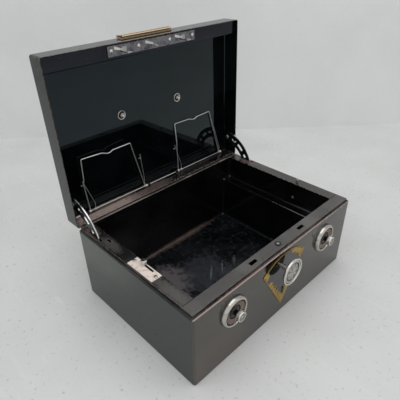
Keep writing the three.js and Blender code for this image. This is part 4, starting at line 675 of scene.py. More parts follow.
nickel = plated("buffed_nickel_plate", "#d2cfca", 0.12, "#e4e1dc", dirt=0.4)
ring_nickel = plated("aged_nickel_plate", "#c2beb6", 0.14, "#dcd8d2", stain="#7d776c", dirt=0.7)
face_nickel = plated("fingered_nickel_plate", "#96948a", 0.3, "#d9d6ce", stain="#6a685c")
copper_lacquer = plated(
    "brown_lacquered_copper", "#362923", 0.36, "#6b554c", stain="#181210", dirt=0.9
)
rib_copper = plated("rubbed_copper", "#bca89e", 0.26, "#d0beb4", stain="#5a4a42", dirt=0.6)
# Black lacquer for the dials' hubs and the lock button's guide; on the dial knobs' necks it is painted
# shade.
hub_lacquer_and_painted_shade = lacquer("black_hub_lacquer", 1.5, gloss=0.3, dust=0.1, wear=0.1)
OUT = np.array([0.0, -1.0, 0.0])
RING_FOOT = [(21, 0.3), (26.2, 0.3)]
RING_CENTRE = (22.3, 0.6)
RING_OUTER_REACH = (4.2, 6.3)
RING_INNER_REACH = (1.3, 2.4)
CONE_RADII = (10.5, 19.8)
CONE_HEIGHTS = (2.6, 4.9)
RIBS = 40
NECK_HEIGHT = 10.2
NECK_REACH = 6.9
DISH_HEIGHT = 17.05
DISH_REACH = 6.6


def radial_marks(centre, radii, heights, width, rise, count):
    """Flat bars that point at a centre on the front, one every full turn over the count, from
    the lower radius and height to the higher, standing up by the rise."""
    angles = np.arange(count) * 2 * math.pi / count
    out = np.stack([np.sin(angles), 0 * angles, np.cos(angles)], -1)
    side = np.stack([np.cos(angles), 0 * angles, -np.sin(angles)], -1) * width / 2
    ends = ((0, -1), (0, 1), (1, 1), (1, -1))
    lines = [out * radii[end] + side * half + OUT * heights[end] for end, half in ends]
    flat = centre + np.stack(lines, 1)
    return [tube(grid) for grid in np.stack([flat, flat + OUT * rise], 1)]


for side in ("left", "right"):
    ring_low, ring_high = corners_of(f"dial_ring_{side}")
    centre = (ring_low + ring_high) / 2
    centre[1] = case_low[1]
    swell = np.linspace(0, math.pi / 2, 17)
    outer = np.stack([np.cos(swell), np.sin(swell)], 1) * RING_OUTER_REACH + RING_CENTRE
    inner = np.stack([-np.sin(swell), np.cos(swell)], 1) * RING_INNER_REACH
    inner += outer[-1] - (0, RING_INNER_REACH[1])
    ring_profile = np.concatenate([RING_FOOT, outer, inner[1:]])
    surface_piece(
        f"dial_{side}_ring", [hoop(turned(ring_profile, centre, OUT, 96))],
        "case", ring_nickel, [f"dial_ring_{side}"],
    )
    face_loop = [
        (3.5, 0.8), (20.6, 0.8), (20.6, 5.1), (CONE_RADII[1], CONE_HEIGHTS[1]),
        (CONE_RADII[0], CONE_HEIGHTS[0]), (3.5, CONE_HEIGHTS[0] - 0.3), (3.5, 0.8),
    ]
    face_profile = bent_line(face_loop, [0.2, 0.2, 0.3, 0.5, 0.2])
    surface_piece(
        f"dial_{side}_face", [hoop(turned(face_profile, centre, OUT))],
        f"dial_{side}", copper_lacquer, [f"dial_face_{side}"],
    )
    bars = radial_marks(centre, (12.2, 19.4), (3.0, 4.8), 0.9, 0.75, RIBS)
    surface_piece(f"dial_{side}_ribs", bars, f"dial_{side}", rib_copper)
    hub_profile = bent_line(
        [(5, 2.2), (9.6, 2.2), (9.6, 3.1), (5, 3.4), (5, 2.2)], [0.1, 0.4, 0.1]
    )
    surface_piece(
        f"dial_{side}_hub", [hoop(turned(hub_profile, centre, OUT, 48))],
        f"dial_{side}", hub_lacquer_and_painted_shade,
    )
    knob_profile = np.array(
        [
            (0.01, -10, 0), (3, -10, 0), (3, 3.2, 0), (7.2, 3.3, 0), (7.2, 3.9, 0), (6.6, 4.3, 0),
            (5.4, 4.6, 0), (4.6, 5.2, 0), (4.5, 9.6, 0), (5, 10.2, 0), (7.6, 10.5, 0),
            (8.3, 10.9, 0.5), (8.5, 11.4, 1), (8.5, 12, 1), (8.5, 16.2, 1), (8.5, 16.8, 1),
            (8.3, 17.5, 0.5), (7.9, 17.9, 0), (7.3, 18, 0), (6.8, 17.9, 0), (6.3, 17.3, 0),
            (5.6, 17.1, 0), (2, 17, 0), (0.01, 17, 0),
        ]
    )
    knob_points = turned(knob_profile, centre, OUT, around=192, flutes=24, depth=0.45)
    dial_knob = surface_piece(
        f"dial_{side}_knob", [tube(knob_points)],
        f"dial_{side}", nickel, [f"dial_knob_{side}"], sharp=45,
    )
    spots = face_centres(dial_knob.data) - centre
    reach = np.hypot(spots[:, 0], spots[:, 2])
    # The stem and the neck under the knob's head take the black lacquer: painted shade for the dark
    # gap under the head.
    is_neck = (spots[:, 1] > -NECK_HEIGHT) & (reach < NECK_REACH)
    add_finish(dial_knob, hub_lacquer_and_painted_shade, is_neck)
    is_dish = (spots[:, 1] < -DISH_HEIGHT) & (reach < DISH_REACH)
    add_finish(dial_knob, face_nickel, is_dish)

# Shield: a stamped brass plate round the centre knob and the keyhole. Its field is filled with
# black lacquer, and its border, lower point and shoulders stay gilt, with raised scrolls.


def cubic(a, b, c, d, steps=16):
    """A cubic Bezier arc from a to d, drawn towards b and c."""
    t = np.linspace(0, 1, steps + 1)[:, None]
    a, b, c, d = (np.asarray(point, float) for point in (a, b, c, d))
    return (1 - t) ** 3 * a + 3 * (1 - t) ** 2 * t * b + 3 * (1 - t) * t**2 * c + t**3 * d


def edged_plate(outline, profile, place):
    """A plate with a profiled edge: ring after ring of the closed outline, each moved inwards
    by the profile's inset along the outline's own normal, at the profile's height."""
    onward = np.roll(outline, -1, 0) - np.roll(outline, 1, 0)
    inward = np.stack([-onward[:, 1], onward[:, 0]], -1)
    inward /= np.linalg.norm(inward, axis=1)[:, None]
    profile = np.asarray(profile, float)
    rings = outline + profile[:, :1, None] * inward
    heights = np.broadcast_to(profile[:, 1:, None], (*rings.shape[:2], 1))
    return place(np.concatenate([rings, heights], 2))


def on_front(points):
    """(x, z, height off the front) to (x, y, z)."""
    x, z, height = np.moveaxis(points, -1, 0)
    return np.stack([x, case_low[1] - height, z], -1)


def swept(path, section, flat):
    """A section (across, up) carried along a path, with across square to the path and to the
    flat's normal, and up square to both. A path station may have a section of its own."""
    tangent = np.gradient(path, axis=0)
    across = np.cross(tangent, flat)
    across /= np.linalg.norm(across, axis=1)[:, None]
    up = np.cross(across, tangent)
    up /= np.linalg.norm(up, axis=1)[:, None]
    section = np.broadcast_to(section, (len(path), *np.shape(section)[-2:]))
    return path[:, None] + section[..., :1] * across[:, None] + section[..., 1:] * up[:, None]


def circle(radius, around=12):
    """Points once round a circle."""
    angles = np.linspace(0, 2 * math.pi, around, endpoint=False)
    return radius * np.stack([np.cos(angles), np.sin(angles)], -1)


def scroll(centre, radius, start, turns):
    """A raised scroll on the front: a bead that thins along a spiral whose radius falls evenly
    to a fifth. Negative turns wind the other way."""
    share = np.linspace(0, 1, 40)
    angle = start + share * turns * 2 * math.pi
    reach = radius * (1 - 0.8 * share)
    flat = np.stack([reach * np.cos(angle), reach * np.sin(angle), 0 * share + 1.75], -1)
    thickness = 0.25 + 0.6 * np.sin(math.pi * np.clip(share + 0.12, 0, 1))
    bead = circle(1, 8) * thickness[:, None, None]
    return tube(swept(on_front(flat + (*centre, 0)), bead, OUT))


brass = plated("gilt_brass", "#a07f45", 0.24, "#c4a566", stain="#3c2b16", dirt=0.95, grain_mm=2)
# Darker brass: a painted dark reflection of the centre knob on the gilt arch.
brass_with_painted_reflection = plated("brass_with_painted_reflection", "#665436", 0.4, "#8a7448", stain="#2a2014", dirt=0.9)
shield_enamel = lacquer("black_shield_enamel", 1.7, gloss=0.06, dust=0.08, wear=0.2)
shield_low, shield_high = corners_of("shield_plate")
knob_low, knob_high = corners_of("centre_knob")
knob_centre = (knob_low + knob_high) / 2
knob_centre[1] = case_low[1]
shield_x = (shield_low[0] + shield_high[0]) / 2
tip, crown_z = shield_low[2], shield_high[2]
shoulder = knob_centre[2] + 8
left_arc = cubic(
    (shield_x, crown_z), (shield_x - 18, crown_z), (shield_low[0] + 22, crown_z - 3),
    (shield_low[0], shoulder),
)
right_arc = left_arc[::-1] * (-1, 1) + (2 * shield_x, 0)
left_edge = np.linspace((shield_low[0], shoulder), (shield_x, tip), 20)[1:]
right_edge = left_edge[::-1][1:] * (-1, 1) + (2 * shield_x, 0)
outline = np.concatenate([left_arc, left_edge, right_edge, right_arc[:-1]])
softened("shield_field", "shield_plate", 0.25, shield_enamel)
border = [(0.3, 0.3), (-0.05, 0.3), (-0.05, 1.3), (0.15, 1.6), (0.7, 1.75), (1.2, 1.6), (1.5, 1.2)]
point_patch = np.array(
    [
        (-38, 90), (2, 24), (17, 48), (13, 57), (9.5, 59), (7.5, 54), (6.8, 44), (-0.5, 43.5),
        (-3, 50), (-8, 54), (-10, 60), (-16, 62), (-17, 69), (-23, 71), (-22, 79), (-28, 82),
        (-28, 90), (-34, 93),
    ]
)
shoulder_patch = np.array(
    [
        (16, 127), (20, 121), (27, 120), (31, 114), (38, 112), (40, 103), (45, 98), (53.5, 112),
        (40, 120), (28, 126.5),
    ]
)
corner_patch = np.array([(-50.3, 112), (-43, 101), (-38, 108), (-40, 117)])
edge_step = [(0, 1.1), (0, 1.5), (0.3, 1.65)]
patches = [
    tube(edged_plate(patch, edge_step, on_front))
    for patch in (point_patch, shoulder_patch, corner_patch)
]
SCROLLS = [
    (-30, 84, 4.6, 0.5, 1.2), (-21, 73, 4.4, 2.2, -1.2), (-13, 60, 4.2, 0.8, 1.2),
    (-6, 49, 4.0, 2.4, -1.2), (11, 52, 3.6, 1.2, 1.1), (3, 37, 4.4, 1.6, 1.2),
    (-10, 47.5, 2.2, 0.2, -1), (-24, 70, 2.2, 3.0, 1), (23, 123, 4.0, 0.4, 1.2),
    (33, 118, 4.2, 2.6, -1.2), (43, 106, 4.2, 0.9, 1.2), (-44, 108, 3.0, 2.0, 1.1),
]
scrolls = [scroll((x, z), *shape) for x, z, *shape in SCROLLS]
gilding = surface_piece(
    "shield_gilding",
    [(edged_plate(outline, border, on_front), False, True, False), *patches, *scrolls],
    "case", brass,
)
spots = face_centres(gilding.data)
# The gilt arch over the centre knob and to its left is darkened: a painted dark reflection of the
# knob.
PAINTED_REFLECTION_SPAN = (-44, 14)
in_span = (spots[:, 0] > PAINTED_REFLECTION_SPAN[0]) & (spots[:, 0] < PAINTED_REFLECTION_SPAN[1])
add_finish(gilding, brass_with_painted_reflection, (spots[:, 2] > shoulder + 3) & in_span)
pin_profile = [(0.01, 0.4), (1.9, 0.4), (1.9, 1.8), (1.6, 2.5), (0.9, 2.9), (0.01, 3)]
pins = [
    tube(turned(pin_profile, np.array([x, case_low[1], z]), OUT, 20))
    for x, z in ((-47.1, 110.7), (48.6, 111.4))
]
surface_piece("shield_pins", pins, "case", brass)

# Centre knob: a turned and nickel-plated disc on a stem, with a bright rim, a rope ring and
# a low rosette inside it. Turning it draws the bolt.

KNOB_RADIUS = (knob_high[0] - knob_low[0]) / 2
KNOB_REACH = knob_centre[1] - knob_low[1]
KNOB_STEM = 4
knob_profile = bent_line(
    [
        (0.01, KNOB_REACH - 33), (KNOB_STEM, KNOB_REACH - 33), (KNOB_STEM, KNOB_REACH - 8),
        (KNOB_STEM + 3, KNOB_REACH - 5.8), (KNOB_RADIUS - 1.5, KNOB_REACH - 4.8),
        (KNOB_RADIUS, KNOB_REACH - 3.2), (KNOB_RADIUS, KNOB_REACH), (KNOB_RADIUS - 3, KNOB_REACH),
        (KNOB_RADIUS - 3.6, KNOB_REACH - 2.2), (0.01, KNOB_REACH - 2.2),
    ],
    [0.3, 2, 1, 1, 1, 1.1, 0.8, 0.5],
)
surface_piece(
    "centre_knob_disc", [tube(turned(knob_profile, knob_centre, OUT, 96))],
    "turn_knob", nickel, ["centre_knob"],
)
ROPE_INSET = 5.4
ROPE_STRANDS = 30
ROPE_THICKNESS = 1.2
PETALS = 8
rope_radius = KNOB_RADIUS - ROPE_INSET
around = np.linspace(0, 2 * math.pi, 288, endpoint=False)
across = np.linspace(0, 2 * math.pi, 12, endpoint=False)
strand = ROPE_THICKNESS + 0.35 * np.cos(ROPE_STRANDS * around[:, None] - 2 * across)
rope_r = rope_radius + strand * np.cos(across)
rope_h = KNOB_REACH - 1.9 + 0.9 * strand * np.sin(across)
rope = np.stack([rope_r * np.sin(around)[:, None], -rope_h, rope_r * np.cos(around)[:, None]], -1)
rope += knob_centre
radii = np.linspace(0.01, KNOB_RADIUS - 7, 32)
petals = np.abs(np.cos(PETALS / 2 * around)) ** 0.6
share = radii[:, None] / radii[-1]
relief = 1.7 * petals * np.sin(math.pi * np.clip(share * 1.08, 0, 1)) ** 0.6
relief -= 0.5 * np.exp(-(((share - 0.55) / 0.08) ** 2)) * petals
relief += 1.2 * np.exp(-((share / 0.22) ** 4))
relief_h = KNOB_REACH - 2.1 + relief * (share < 1)
rosette = np.stack(
    [radii[:, None] * np.sin(around), -relief_h, radii[:, None] * np.cos(around)], -1
) + knob_centre
under = rosette[-1:] - OUT * 0.4


def hollows(finish, low, high):
    """Dark patina in the hollows of a relief on the front, by its height off the front."""
    tree = finish.node_tree
    shader = tree.nodes["Principled BSDF"]
    place = next(node for node in tree.nodes if node.bl_idname == "ShaderNodeTexCoord")
    parts = add_node(tree, "SeparateXYZ", {"Vector": place.outputs["Object"]})
    deep = {"Value": parts.outputs["Y"], "From Min": (case_low[1] - high) * MM}
    depth = add_node(tree, "MapRange", {**deep, "From Max": (case_low[1] - low) * MM})
    before = shader.inputs["Base Color"].links[0].from_socket
    dark = add_node(tree, "Mix", {"data_type": "RGBA", 0: depth, 6: before, 7: "#2a2622"})
    wire(tree, shader, {"Base Color": dark})
    return finish


relief_nickel = hollows(
    plated("patinated_nickel_plate", "#b9b6ae", 0.24, "#e2dfd8"), KNOB_REACH - 2.4,
    KNOB_REACH - 0.9,
)
surface_piece(
    "centre_knob_rosette",
    [hoop(rope), tube(np.concatenate([rosette, under]))],
    "turn_knob", relief_nickel, sharp=60,
)

# Lid: a pressed steel pan hinged along the back, standing open a little past upright.
# Outside it is lacquered like the case, and inside it has a thinner and flatter coat.

LID_OPEN = math.radians(91)
LID_DEPTH = 34
LID_CORNER = 4
HINGE_ROOM = 2.8
HINGE_SIDE_REACH = 3
pin_low, pin_high = corners_of("hinge_pin")
hinge = (pin_low + pin_high) / 2
lid_length = (corners_of("lid_shell")[1][2] - hinge[2]) / math.sin(LID_OPEN)
half_width = case_high[0]


def opened(points):
    """Lid points (x, back, up) from the hinge line to (x, y, z): y = hinge - back cos a +
    up sin a, and z = hinge + back sin a + up cos a, where a is how far the lid is open."""
    x, back, up = np.moveaxis(np.asarray(points, float), -1, 0)
    y = hinge[1] - back * math.cos(LID_OPEN) + up * math.sin(LID_OPEN)
    z = hinge[2] + back * math.sin(LID_OPEN) + up * math.cos(LID_OPEN)
    return np.stack([x, y, z], -1)


lid_section = bent_line(
    [
        (BASE_CAP, LID_DEPTH - SHEET), (SHEET, LID_DEPTH - SHEET), (SHEET, 0), (0, 0),
        (0, LID_DEPTH), (BASE_CAP, LID_DEPTH),
    ],
    [2, 0.5, 0.5, 3],
)
inset, rise = lid_section[:, :1], lid_section[:, 1:]
lid_rings = rounded_rings(
    np.array([-half_width, 0]) + inset,
    np.array([half_width, lid_length]) - inset,
    np.maximum(LID_CORNER - inset[:, 0], 0.4),
)
ups = np.broadcast_to(rise[:, None], (*lid_rings.shape[:2], 1)).copy()
hinge_side = lid_rings[..., 1] < SHEET + 0.1
ups[hinge_side] = np.maximum(ups[hinge_side], HINGE_ROOM)
lid_points = np.concatenate([lid_rings, ups], 2)
lid_inside = lacquer(
    "thin_black_lacquer", 1.45, "#dcf6ff", 0.03, "#4c585c", 0.03, wear=0.3, mottle=0.01
)
hinge_side_lacquer = lacquer(
    "scraped_black_lacquer", 1.5, "#fff4f0", 0.2, "#5f5654", 0.15, scuffs=0.35, wear=0.8,
    primer="#8c7f79",
    stains_and_painted_light=[
        ((-130, 155, 141), (120, 40, 30), "#a8978f", 0.95),
        ((-30, 155, 141), (80, 30, 30), "#6c5c58", 0.6),
    ],
)
lid_lacquer = lacquer("rubbed_lid_lacquer", 1.48, "#eafff4", 0.06, dust=0.03, wear=0.8)
lid_pan = surface_piece(
    "lid_pan", [tube(opened(lid_points))], "lid", lid_lacquer,
    ["lid_shell"],
)
lid_spots = face_centres(lid_pan.data) - hinge
back_of = -lid_spots[:, 1] * math.cos(LID_OPEN) + lid_spots[:, 2] * math.sin(LID_OPEN)
up_of = lid_spots[:, 1] * math.sin(LID_OPEN) + lid_spots[:, 2] * math.cos(LID_OPEN)
room = np.minimum(half_width - np.abs(lid_spots[:, 0]), np.minimum(back_of, lid_length - back_of))
is_inside = (room > SHEET * 0.9) & (up_of < LID_DEPTH - SHEET * 0.9)
add_finish(lid_pan, lid_inside, is_inside)
add_finish(lid_pan, hinge_side_lacquer, is_inside & (back_of < HINGE_SIDE_REACH))


def extrusion(section, xs):
    """A closed (y, z) section carried straight along x, with a point at each of the xs."""
    xs = np.asarray(xs, float)
    grid = np.empty((len(xs), len(section), 3))
    grid[..., 0], grid[..., 1:] = xs[:, None], section
    return grid


# At both ends of its hinge side the pan's edge keeps a short lip, past the ends of the hinge.
LIP_SPAN = np.array([191.2, 198.2])
lip = bent_line([(0.1, 2.9), (0.1, 0.2), (1.1, 0.2), (1.1, 2.9), (0.1, 2.9)], 0.3, 3, 0.1)
lips = [tube(opened(extrusion(lip, LIP_SPAN * end))) for end in (-1, 1)]
surface_piece("lid_back_lips", lips, "lid", lid_lacquer)

# Lid front: a folded channel stiffens the edge. A nickel strike plate is riveted to it, with
# three lanced tongues beside its slots, and two hooks hang from it for the bolt to catch.


def sheet_section(midline, thickness, bends, steps=4):
    """A folded strip's closed section: the bent midline moved half the thickness to each side
    along its own normal."""
    line = bent_line(midline, bends, steps)
    along = np.gradient(line, axis=0)
    normal = np.stack([-along[:, 1], along[:, 0]], -1)
    normal *= thickness / 2 / np.linalg.norm(normal, axis=1)[:, None]
    return np.concatenate([line + normal, (line - normal)[::-1]])


lid_front_inner = lid_length - SHEET - 0.3
CHANNEL_WIDTH = 23.5
CHANNEL_UP = 7.4
channel_half = half_width - LID_CORNER
channel_line = [
    (lid_front_inner - 0.6, CHANNEL_UP + 12.6), (lid_front_inner - 0.6, CHANNEL_UP),
    (lid_front_inner - CHANNEL_WIDTH + 0.6, CHANNEL_UP),
    (lid_front_inner - CHANNEL_WIDTH + 0.6, CHANNEL_UP + 4.6),
]
channel = extrusion(sheet_section(channel_line, SHEET, [1.4, 1.4]), [-channel_half, channel_half])
channel_lacquer = lacquer(
    "blue_black_lacquer", 1.45, "#e4e8ff", 0.12, "#4a4e5a", 0.1, mottle=0.06, wear=0
)
surface_piece(
    "lid_channel", [tube(opened(channel))], "lid", channel_lacquer,
    ["lid_front_channel"],
)
steel = plated("bright_zinc_plate", "#b4b3b0", 0.16, "#dedcd6", stain="#77706a")
strike_nickel = plated(
    "blotched_nickel_plate", "#7f7d82", 0.2, "#b6b2ae", stain="#38353a", dirt=1.0
)
STRIKE_RIVETS = (-84.5, -32.5, 32.5, 84.5)
STRIKE_BACK = 268
STRIKE_FACE = 5.2
# Each tongue's place along the strip, and how far it is pressed out.
TONGUES = {-66: 1.7, -6: 1.0, 57: 1.7}
softened("strike_strip", "strike_plate", 0.25, strike_nickel)
TOWARDS_US = opened((0, 0, -1)) - opened((0, 0, 0))
rivet_profile = [(0.01, -1), (3.1, -1), (3.1, 0.2), (2.8, 0.9), (1.9, 1.45), (0.9, 1.7), (0.01, 1.75)]
rivets = [
    tube(turned(rivet_profile, opened((x, STRIKE_BACK, STRIKE_FACE)), TOWARDS_US, 24))
    for x in STRIKE_RIVETS
]
surface_piece("strike_rivets", rivets, "lid", nickel)
tongues = []
for x, pressed in TONGUES.items():
    share = np.linspace(0, 1, 13)
    lift = pressed * np.sin(share * math.pi * 0.62) ** 1.3
    spine = np.stack(
        [x - 13 + 15 * share, STRIKE_BACK + 3.6 - 4.6 * share, STRIKE_FACE - 0.4 - lift], -1
    )
    blade = np.array([(-2.1, -0.4), (2.1, -0.4), (2.1, 0.4), (-2.1, 0.4)])
    widths = np.stack([1 - 0.35 * share, np.ones(13)], -1)[:, None]
    tongues.append(tube(swept(opened(spine), blade * widths, TOWARDS_US)))
    level = 0 * share + STRIKE_FACE - 0.9
    low = np.stack([x + 3 + 9 * share, STRIKE_BACK - 2.2 - 3.6 * share, level], -1)
    tongues.append(tube(swept(opened(low), blade * (0.5, 1), TOWARDS_US)))
surface_piece("strike_tongues", tongues, "lid", nickel)
# The slots are thin dark sheets laid on the plate: painted shade for the openings beside the tongues.
slots = []
for x in TONGUES:
    plan = np.array([(x - 1, -4.5), (x + 6.5, -6), (x + 6.5, -0.5), (x - 1, 0.8)])
    for_slot = np.column_stack([plan[:, 0], plan[:, 1] + STRIKE_BACK, np.full(4, STRIKE_FACE - 0.12)])
    slots.append(tube(np.stack([opened(for_slot), opened(for_slot + (0, 0, 0.4))])))
surface_piece("strike_slots", slots, "lid", soot_and_painted_shade)
for side in ("left", "right"):
    softened(f"lid_hook_{side}", f"hook_{side}", 0.3, steel)

# Paper bails: two loops of nickelled spring wire that hold papers against the inside of the
# lid. Each hangs by coiled feet on a thin rod in a folded strip, with springs beside its legs.

WIRE = 0.95
PIVOT_BACK = 4.8
PIVOT_UP = 26
ROD = 0.8
COIL_RADIUS = 1.9
COIL_PITCH = 1.4
COIL_TURNS = 3
SPRING_WIRE = 0.55
SPRING_UP = 31.2
BAR_UP = 31
KNOT_RADIUS = 1.0
spring_wire = plated("nickelled_spring_wire", "#d8d6d2", 0.3, "#e6e4e0", dirt=0.3)
strip_lacquer = lacquer(
    "scraped_strip_lacquer", 1.5, "#fff4f0", 0.18, "#4c4442", 0.3, wear=0.9, primer="#857a74",
    stains_and_painted_light=[((-110, 166, 143), (80, 20, 9), "#6d605c", 0.7)],
)
BAILS = {
    "left": {
        "x": -157,
        "ups": (27.5, 21.5),
        "dip": ((-118.6, 104.2), (-107.5, 100.2), (-102.5, 100.2), (-97, 103.2)),
        "kink": ((-160.6, 60), (-158.5, 66)),
        "springs": ((-150.5, -159.5, 62), (-39, -36, 70)),
    },
    "right": {
        "x": 53,
        "ups": (31, 31),
        "dip": ((91.4, 104.2), (102.5, 100.8), (107.5, 100.8), (113, 103.6)),
        "kink": ((52.6, 60), (53.2, 66)),
        "springs": ((57, 50, 60), (171.5, 163, 66)),
    },
}
TOP_SPAN = 96
FOOT_SPAN = 122
TOP_BACK = 105


def foot_coil(x, onward):
    """Turns round the rod that leave it upwards: x + pitch t / 2 pi, back + r cos t, up +
    r sin t, with the angle falling to a quarter turn."""
    t = np.linspace(0.25 + COIL_TURNS, 0.25, 20 * COIL_TURNS + 1) * 2 * math.pi
    shift = onward * COIL_PITCH * (t[0] - t) / (2 * math.pi)
    return np.stack(
        [x + shift, PIVOT_BACK + COIL_RADIUS * np.cos(t), PIVOT_UP + COIL_RADIUS * np.sin(t)], -1
    )


def lid_wire(path, radius, around, flat=(0, 0, 1)):
    """A round wire along a path of lid points."""
    return tube(opened(swept(path, circle(radius, around), flat)))


LOOP_FLAT = (0.05, 0.02, 1)
for side, bail in BAILS.items():
    x, (up_near, up_far) = bail["x"], bail["ups"]
    right_foot = x + FOOT_SPAN
    top_corners = [(x, TOP_BACK), *bail["dip"], (x + TOP_SPAN, TOP_BACK)]
    near_coil = foot_coil(x - COIL_PITCH * COIL_TURNS, 1)
    far_coil = foot_coil(right_foot + COIL_PITCH * COIL_TURNS, -1)[::-1]
    near_leg = [tuple(near_coil[-1])]
    near_leg += [(kx, back, PIVOT_UP + 2) for kx, back in bail["kink"]]
    span = [
        (cx, back, up_near + (up_far - up_near) * (cx - x) / TOP_SPAN) for cx, back in top_corners
    ]
    corners = near_leg + span + [tuple(far_coil[0])]
    middle = bent_line(corners, [2, 2, 2.5, 2, 2, 2, 2, 2.5], 6)
    path = np.concatenate([near_coil[:-1], middle, far_coil[1:]])
    keep = np.concatenate([[True], np.linalg.norm(np.diff(path, axis=0), axis=1) > 0.02])
    path = path[keep]
    loop = lid_wire(path, WIRE, 10, LOOP_FLAT)
    surface_piece(
        f"paper_bail_{side}", [loop], f"paper_bail_{side}",
        spring_wire, [f"bail_{side}"], sharp=70,
    )
    springs = []
    for foot_x, end_x, end_back in bail["springs"]:
        turns = foot_coil(foot_x, 1)
        spring_end = (end_x, end_back, SPRING_UP)
        leg = bent_line([turns[-1], (foot_x + 5, 16, SPRING_UP - 2.8), spring_end], [8], 6)
        wire_path = np.concatenate([turns[:-1], leg])
        springs.append(lid_wire(wire_path, SPRING_WIRE, 8, LOOP_FLAT))
        bar = [(x, end_back - 6, BAR_UP) for x in (end_x - 4.5, end_x - 2.05, end_x + 0.4)]
        springs.append(lid_wire(np.array(bar), SPRING_WIRE, 8))
        knot = [(end_x, end_back + half, SPRING_UP) for half in (-0.8, 0.8)]
        springs.append(lid_wire(np.array(knot), KNOT_RADIUS, 10))
    surface_piece(f"bail_springs_{side}", springs, "lid", spring_wire, sharp=70)
    softened(f"bail_eyes_{side}", f"bail_strip_{side}", 0.25, strip_lacquer)

# One long rod runs through all four feet, from one side of the lid to the other.
ROD_ENDS = (-187, 187.4)
rod = np.linspace(*[(x, PIVOT_BACK, PIVOT_UP) for x in ROD_ENDS], 5)
surface_piece("bail_rod", [lid_wire(rod, ROD, 12)], "lid", spring_wire)

# Stays: two slotted arms of blued steel with polished edges. They swing on rivets in the lid's
# sides and slide down through the rims, so that the lid stops a little past upright.

stay_steel = plated("blued_stay_steel", "#45464a", 0.24, "#c9c8c6", stain="#2c2826", dirt=0.7)
dull_nickel = plated("handled_nickel_plate", "#a9a6a2", 0.26, "#d9d5cf")
EDGE_TURN = 0.8
stay_edge = plated("polished_stay_edge", "#cfcecc", 0.16, "#f0eeea", stain="#8a8580", dirt=0.3)
for side in ("left", "right"):
    stay = softened(f"stay_arm_{side}_blade", f"stay_{side}", 0.4, stay_steel, 2, 35)
    normals = values_of(stay.data.polygons, "normal", width=3)
    add_finish(stay, stay_edge, np.abs(normals[:, 0]) < EDGE_TURN)
    softened(f"stay_head_{side}", f"stay_rivet_{side}", 0.3, dull_nickel)

# Carry handle: a bent rod with a thicker grip, swinging in two ears on top of the lid. The
# ears' studs pass through the lid and are held inside by bright washers and domed nuts.

NUT_BACK = 155
LID_INNER = 32.5
STUD = 2.5
grip_black = lacquer("black_grip_enamel", 1.5, gloss=0.2, dust=0.1, wear=0.6)
for side, x in (("left", -64), ("right", 64)):
    softened(f"ear_{side}", f"handle_ear_{side}", 0.8, nickel, 3)
    foot = opened((x, NUT_BACK, LID_INNER))
    washer_profile = bent_line([(6.4, 0.1), (8, 0.1), (8, 1.3), (6.4, 1.1), (6.4, 0.1)], 0.3)
    seat_profile = [(STUD + 0.3, 0.1), (6.4, 0.1), (6.4, 0.7), (STUD + 0.3, 0.7)]
    nut_profile = bent_line(
        [
            (STUD + 0.6, 0.8), (4.7, 0.8), (4.7, 3.2), (4.1, 4.6), (3.3, 5), (STUD + 0.6, 4.4),
            (STUD + 0.6, 0.8),
        ],
        [0.1, 0.6, 0.6, 0.3, 0.1],
    )
    # The seat is a matt black ring that fills the gap between washer and nut: painted shade.
    surface_piece(
        f"ear_nut_{side}_seat", [hoop(turned(seat_profile, foot, TOWARDS_US, 48))],
        "lid", soot_and_painted_shade,
    )
    surface_piece(
        f"ear_nut_{side}",
        [
            hoop(turned(washer_profile, foot, TOWARDS_US, 48)),
            hoop(turned(nut_profile, foot, TOWARDS_US, 48)),
        ],
        "lid", nickel, [f"handle_nut_{side}"],
    )
HANDLE_UP = 40.3
HANDLE_ROD = 3
HANDLE_PIN = 65
HANDLE_SIDE = 53
GRIP_BACK = 119
GRIP_HALF = 44
GRIP_RADIUS = 5.9
GROOVE_DEPTH = 0.35
GROOVE_SPACING = 16
handle_half = [(HANDLE_SIDE, GRIP_BACK), (HANDLE_SIDE, NUT_BACK), (HANDLE_PIN, NUT_BACK)]
handle_line = [(-hx, back) for hx, back in handle_half[::-1]] + handle_half
handle_path = bent_line([(hx, back, HANDLE_UP) for hx, back in handle_line], 9, 10)
grip_x = np.linspace(-GRIP_HALF, GRIP_HALF, 45)
handle_straight = np.stack([grip_x, 0 * grip_x + GRIP_BACK, 0 * grip_x + HANDLE_UP], -1)
swell = np.clip((GRIP_HALF - 3.5 - np.abs(grip_x)) / 2, 0, 1) ** 0.5
grip_swell = HANDLE_ROD + 0.05 + (GRIP_RADIUS - HANDLE_ROD - 0.05) * swell
grip_swell -= GROOVE_DEPTH * (np.abs(np.sin(grip_x * math.pi / GROOVE_SPACING)) < 0.16)
surface_piece(
    "carry_handle_loop",
    [lid_wire(handle_path, HANDLE_ROD, 16)],
    "handle", nickel, ["carry_handle"],
)
grip_section = circle(1, 24) * grip_swell[:, None, None]
surface_piece(
    "carry_handle_grip",
    [tube(opened(swept(handle_straight, grip_section, (0, 0, 1))))],
    "handle", grip_black,
)

# Pull: a thin brass flap with a rolled edge, gilt a pale copper, hinged between two ears of
# its plate on the lid's front edge.

pull_gilt = plated("pale_copper_gilt", "#e2c8a8", 0.26, "#f4e0c8", stain="#b0906c", dirt=0.3)
# Dark gilt: painted shade, for the dark gap under the pull's roll.
gilt_in_painted_shade = plated("copper_gilt_in_painted_shade", "#4a3a2a", 0.4, "#7a624a", stain="#2a2018")
softened("pull_backing", "pull_plate", 0.2, pull_gilt)
pull_grip = softened("pull_grip", "pull_flap", 0.25, pull_gilt)
ROLL = 2.6
SHADE_DEPTH = 1.7
pull_low, pull_high = corners_of("pull_flap")
spots = face_centres(pull_grip.data)
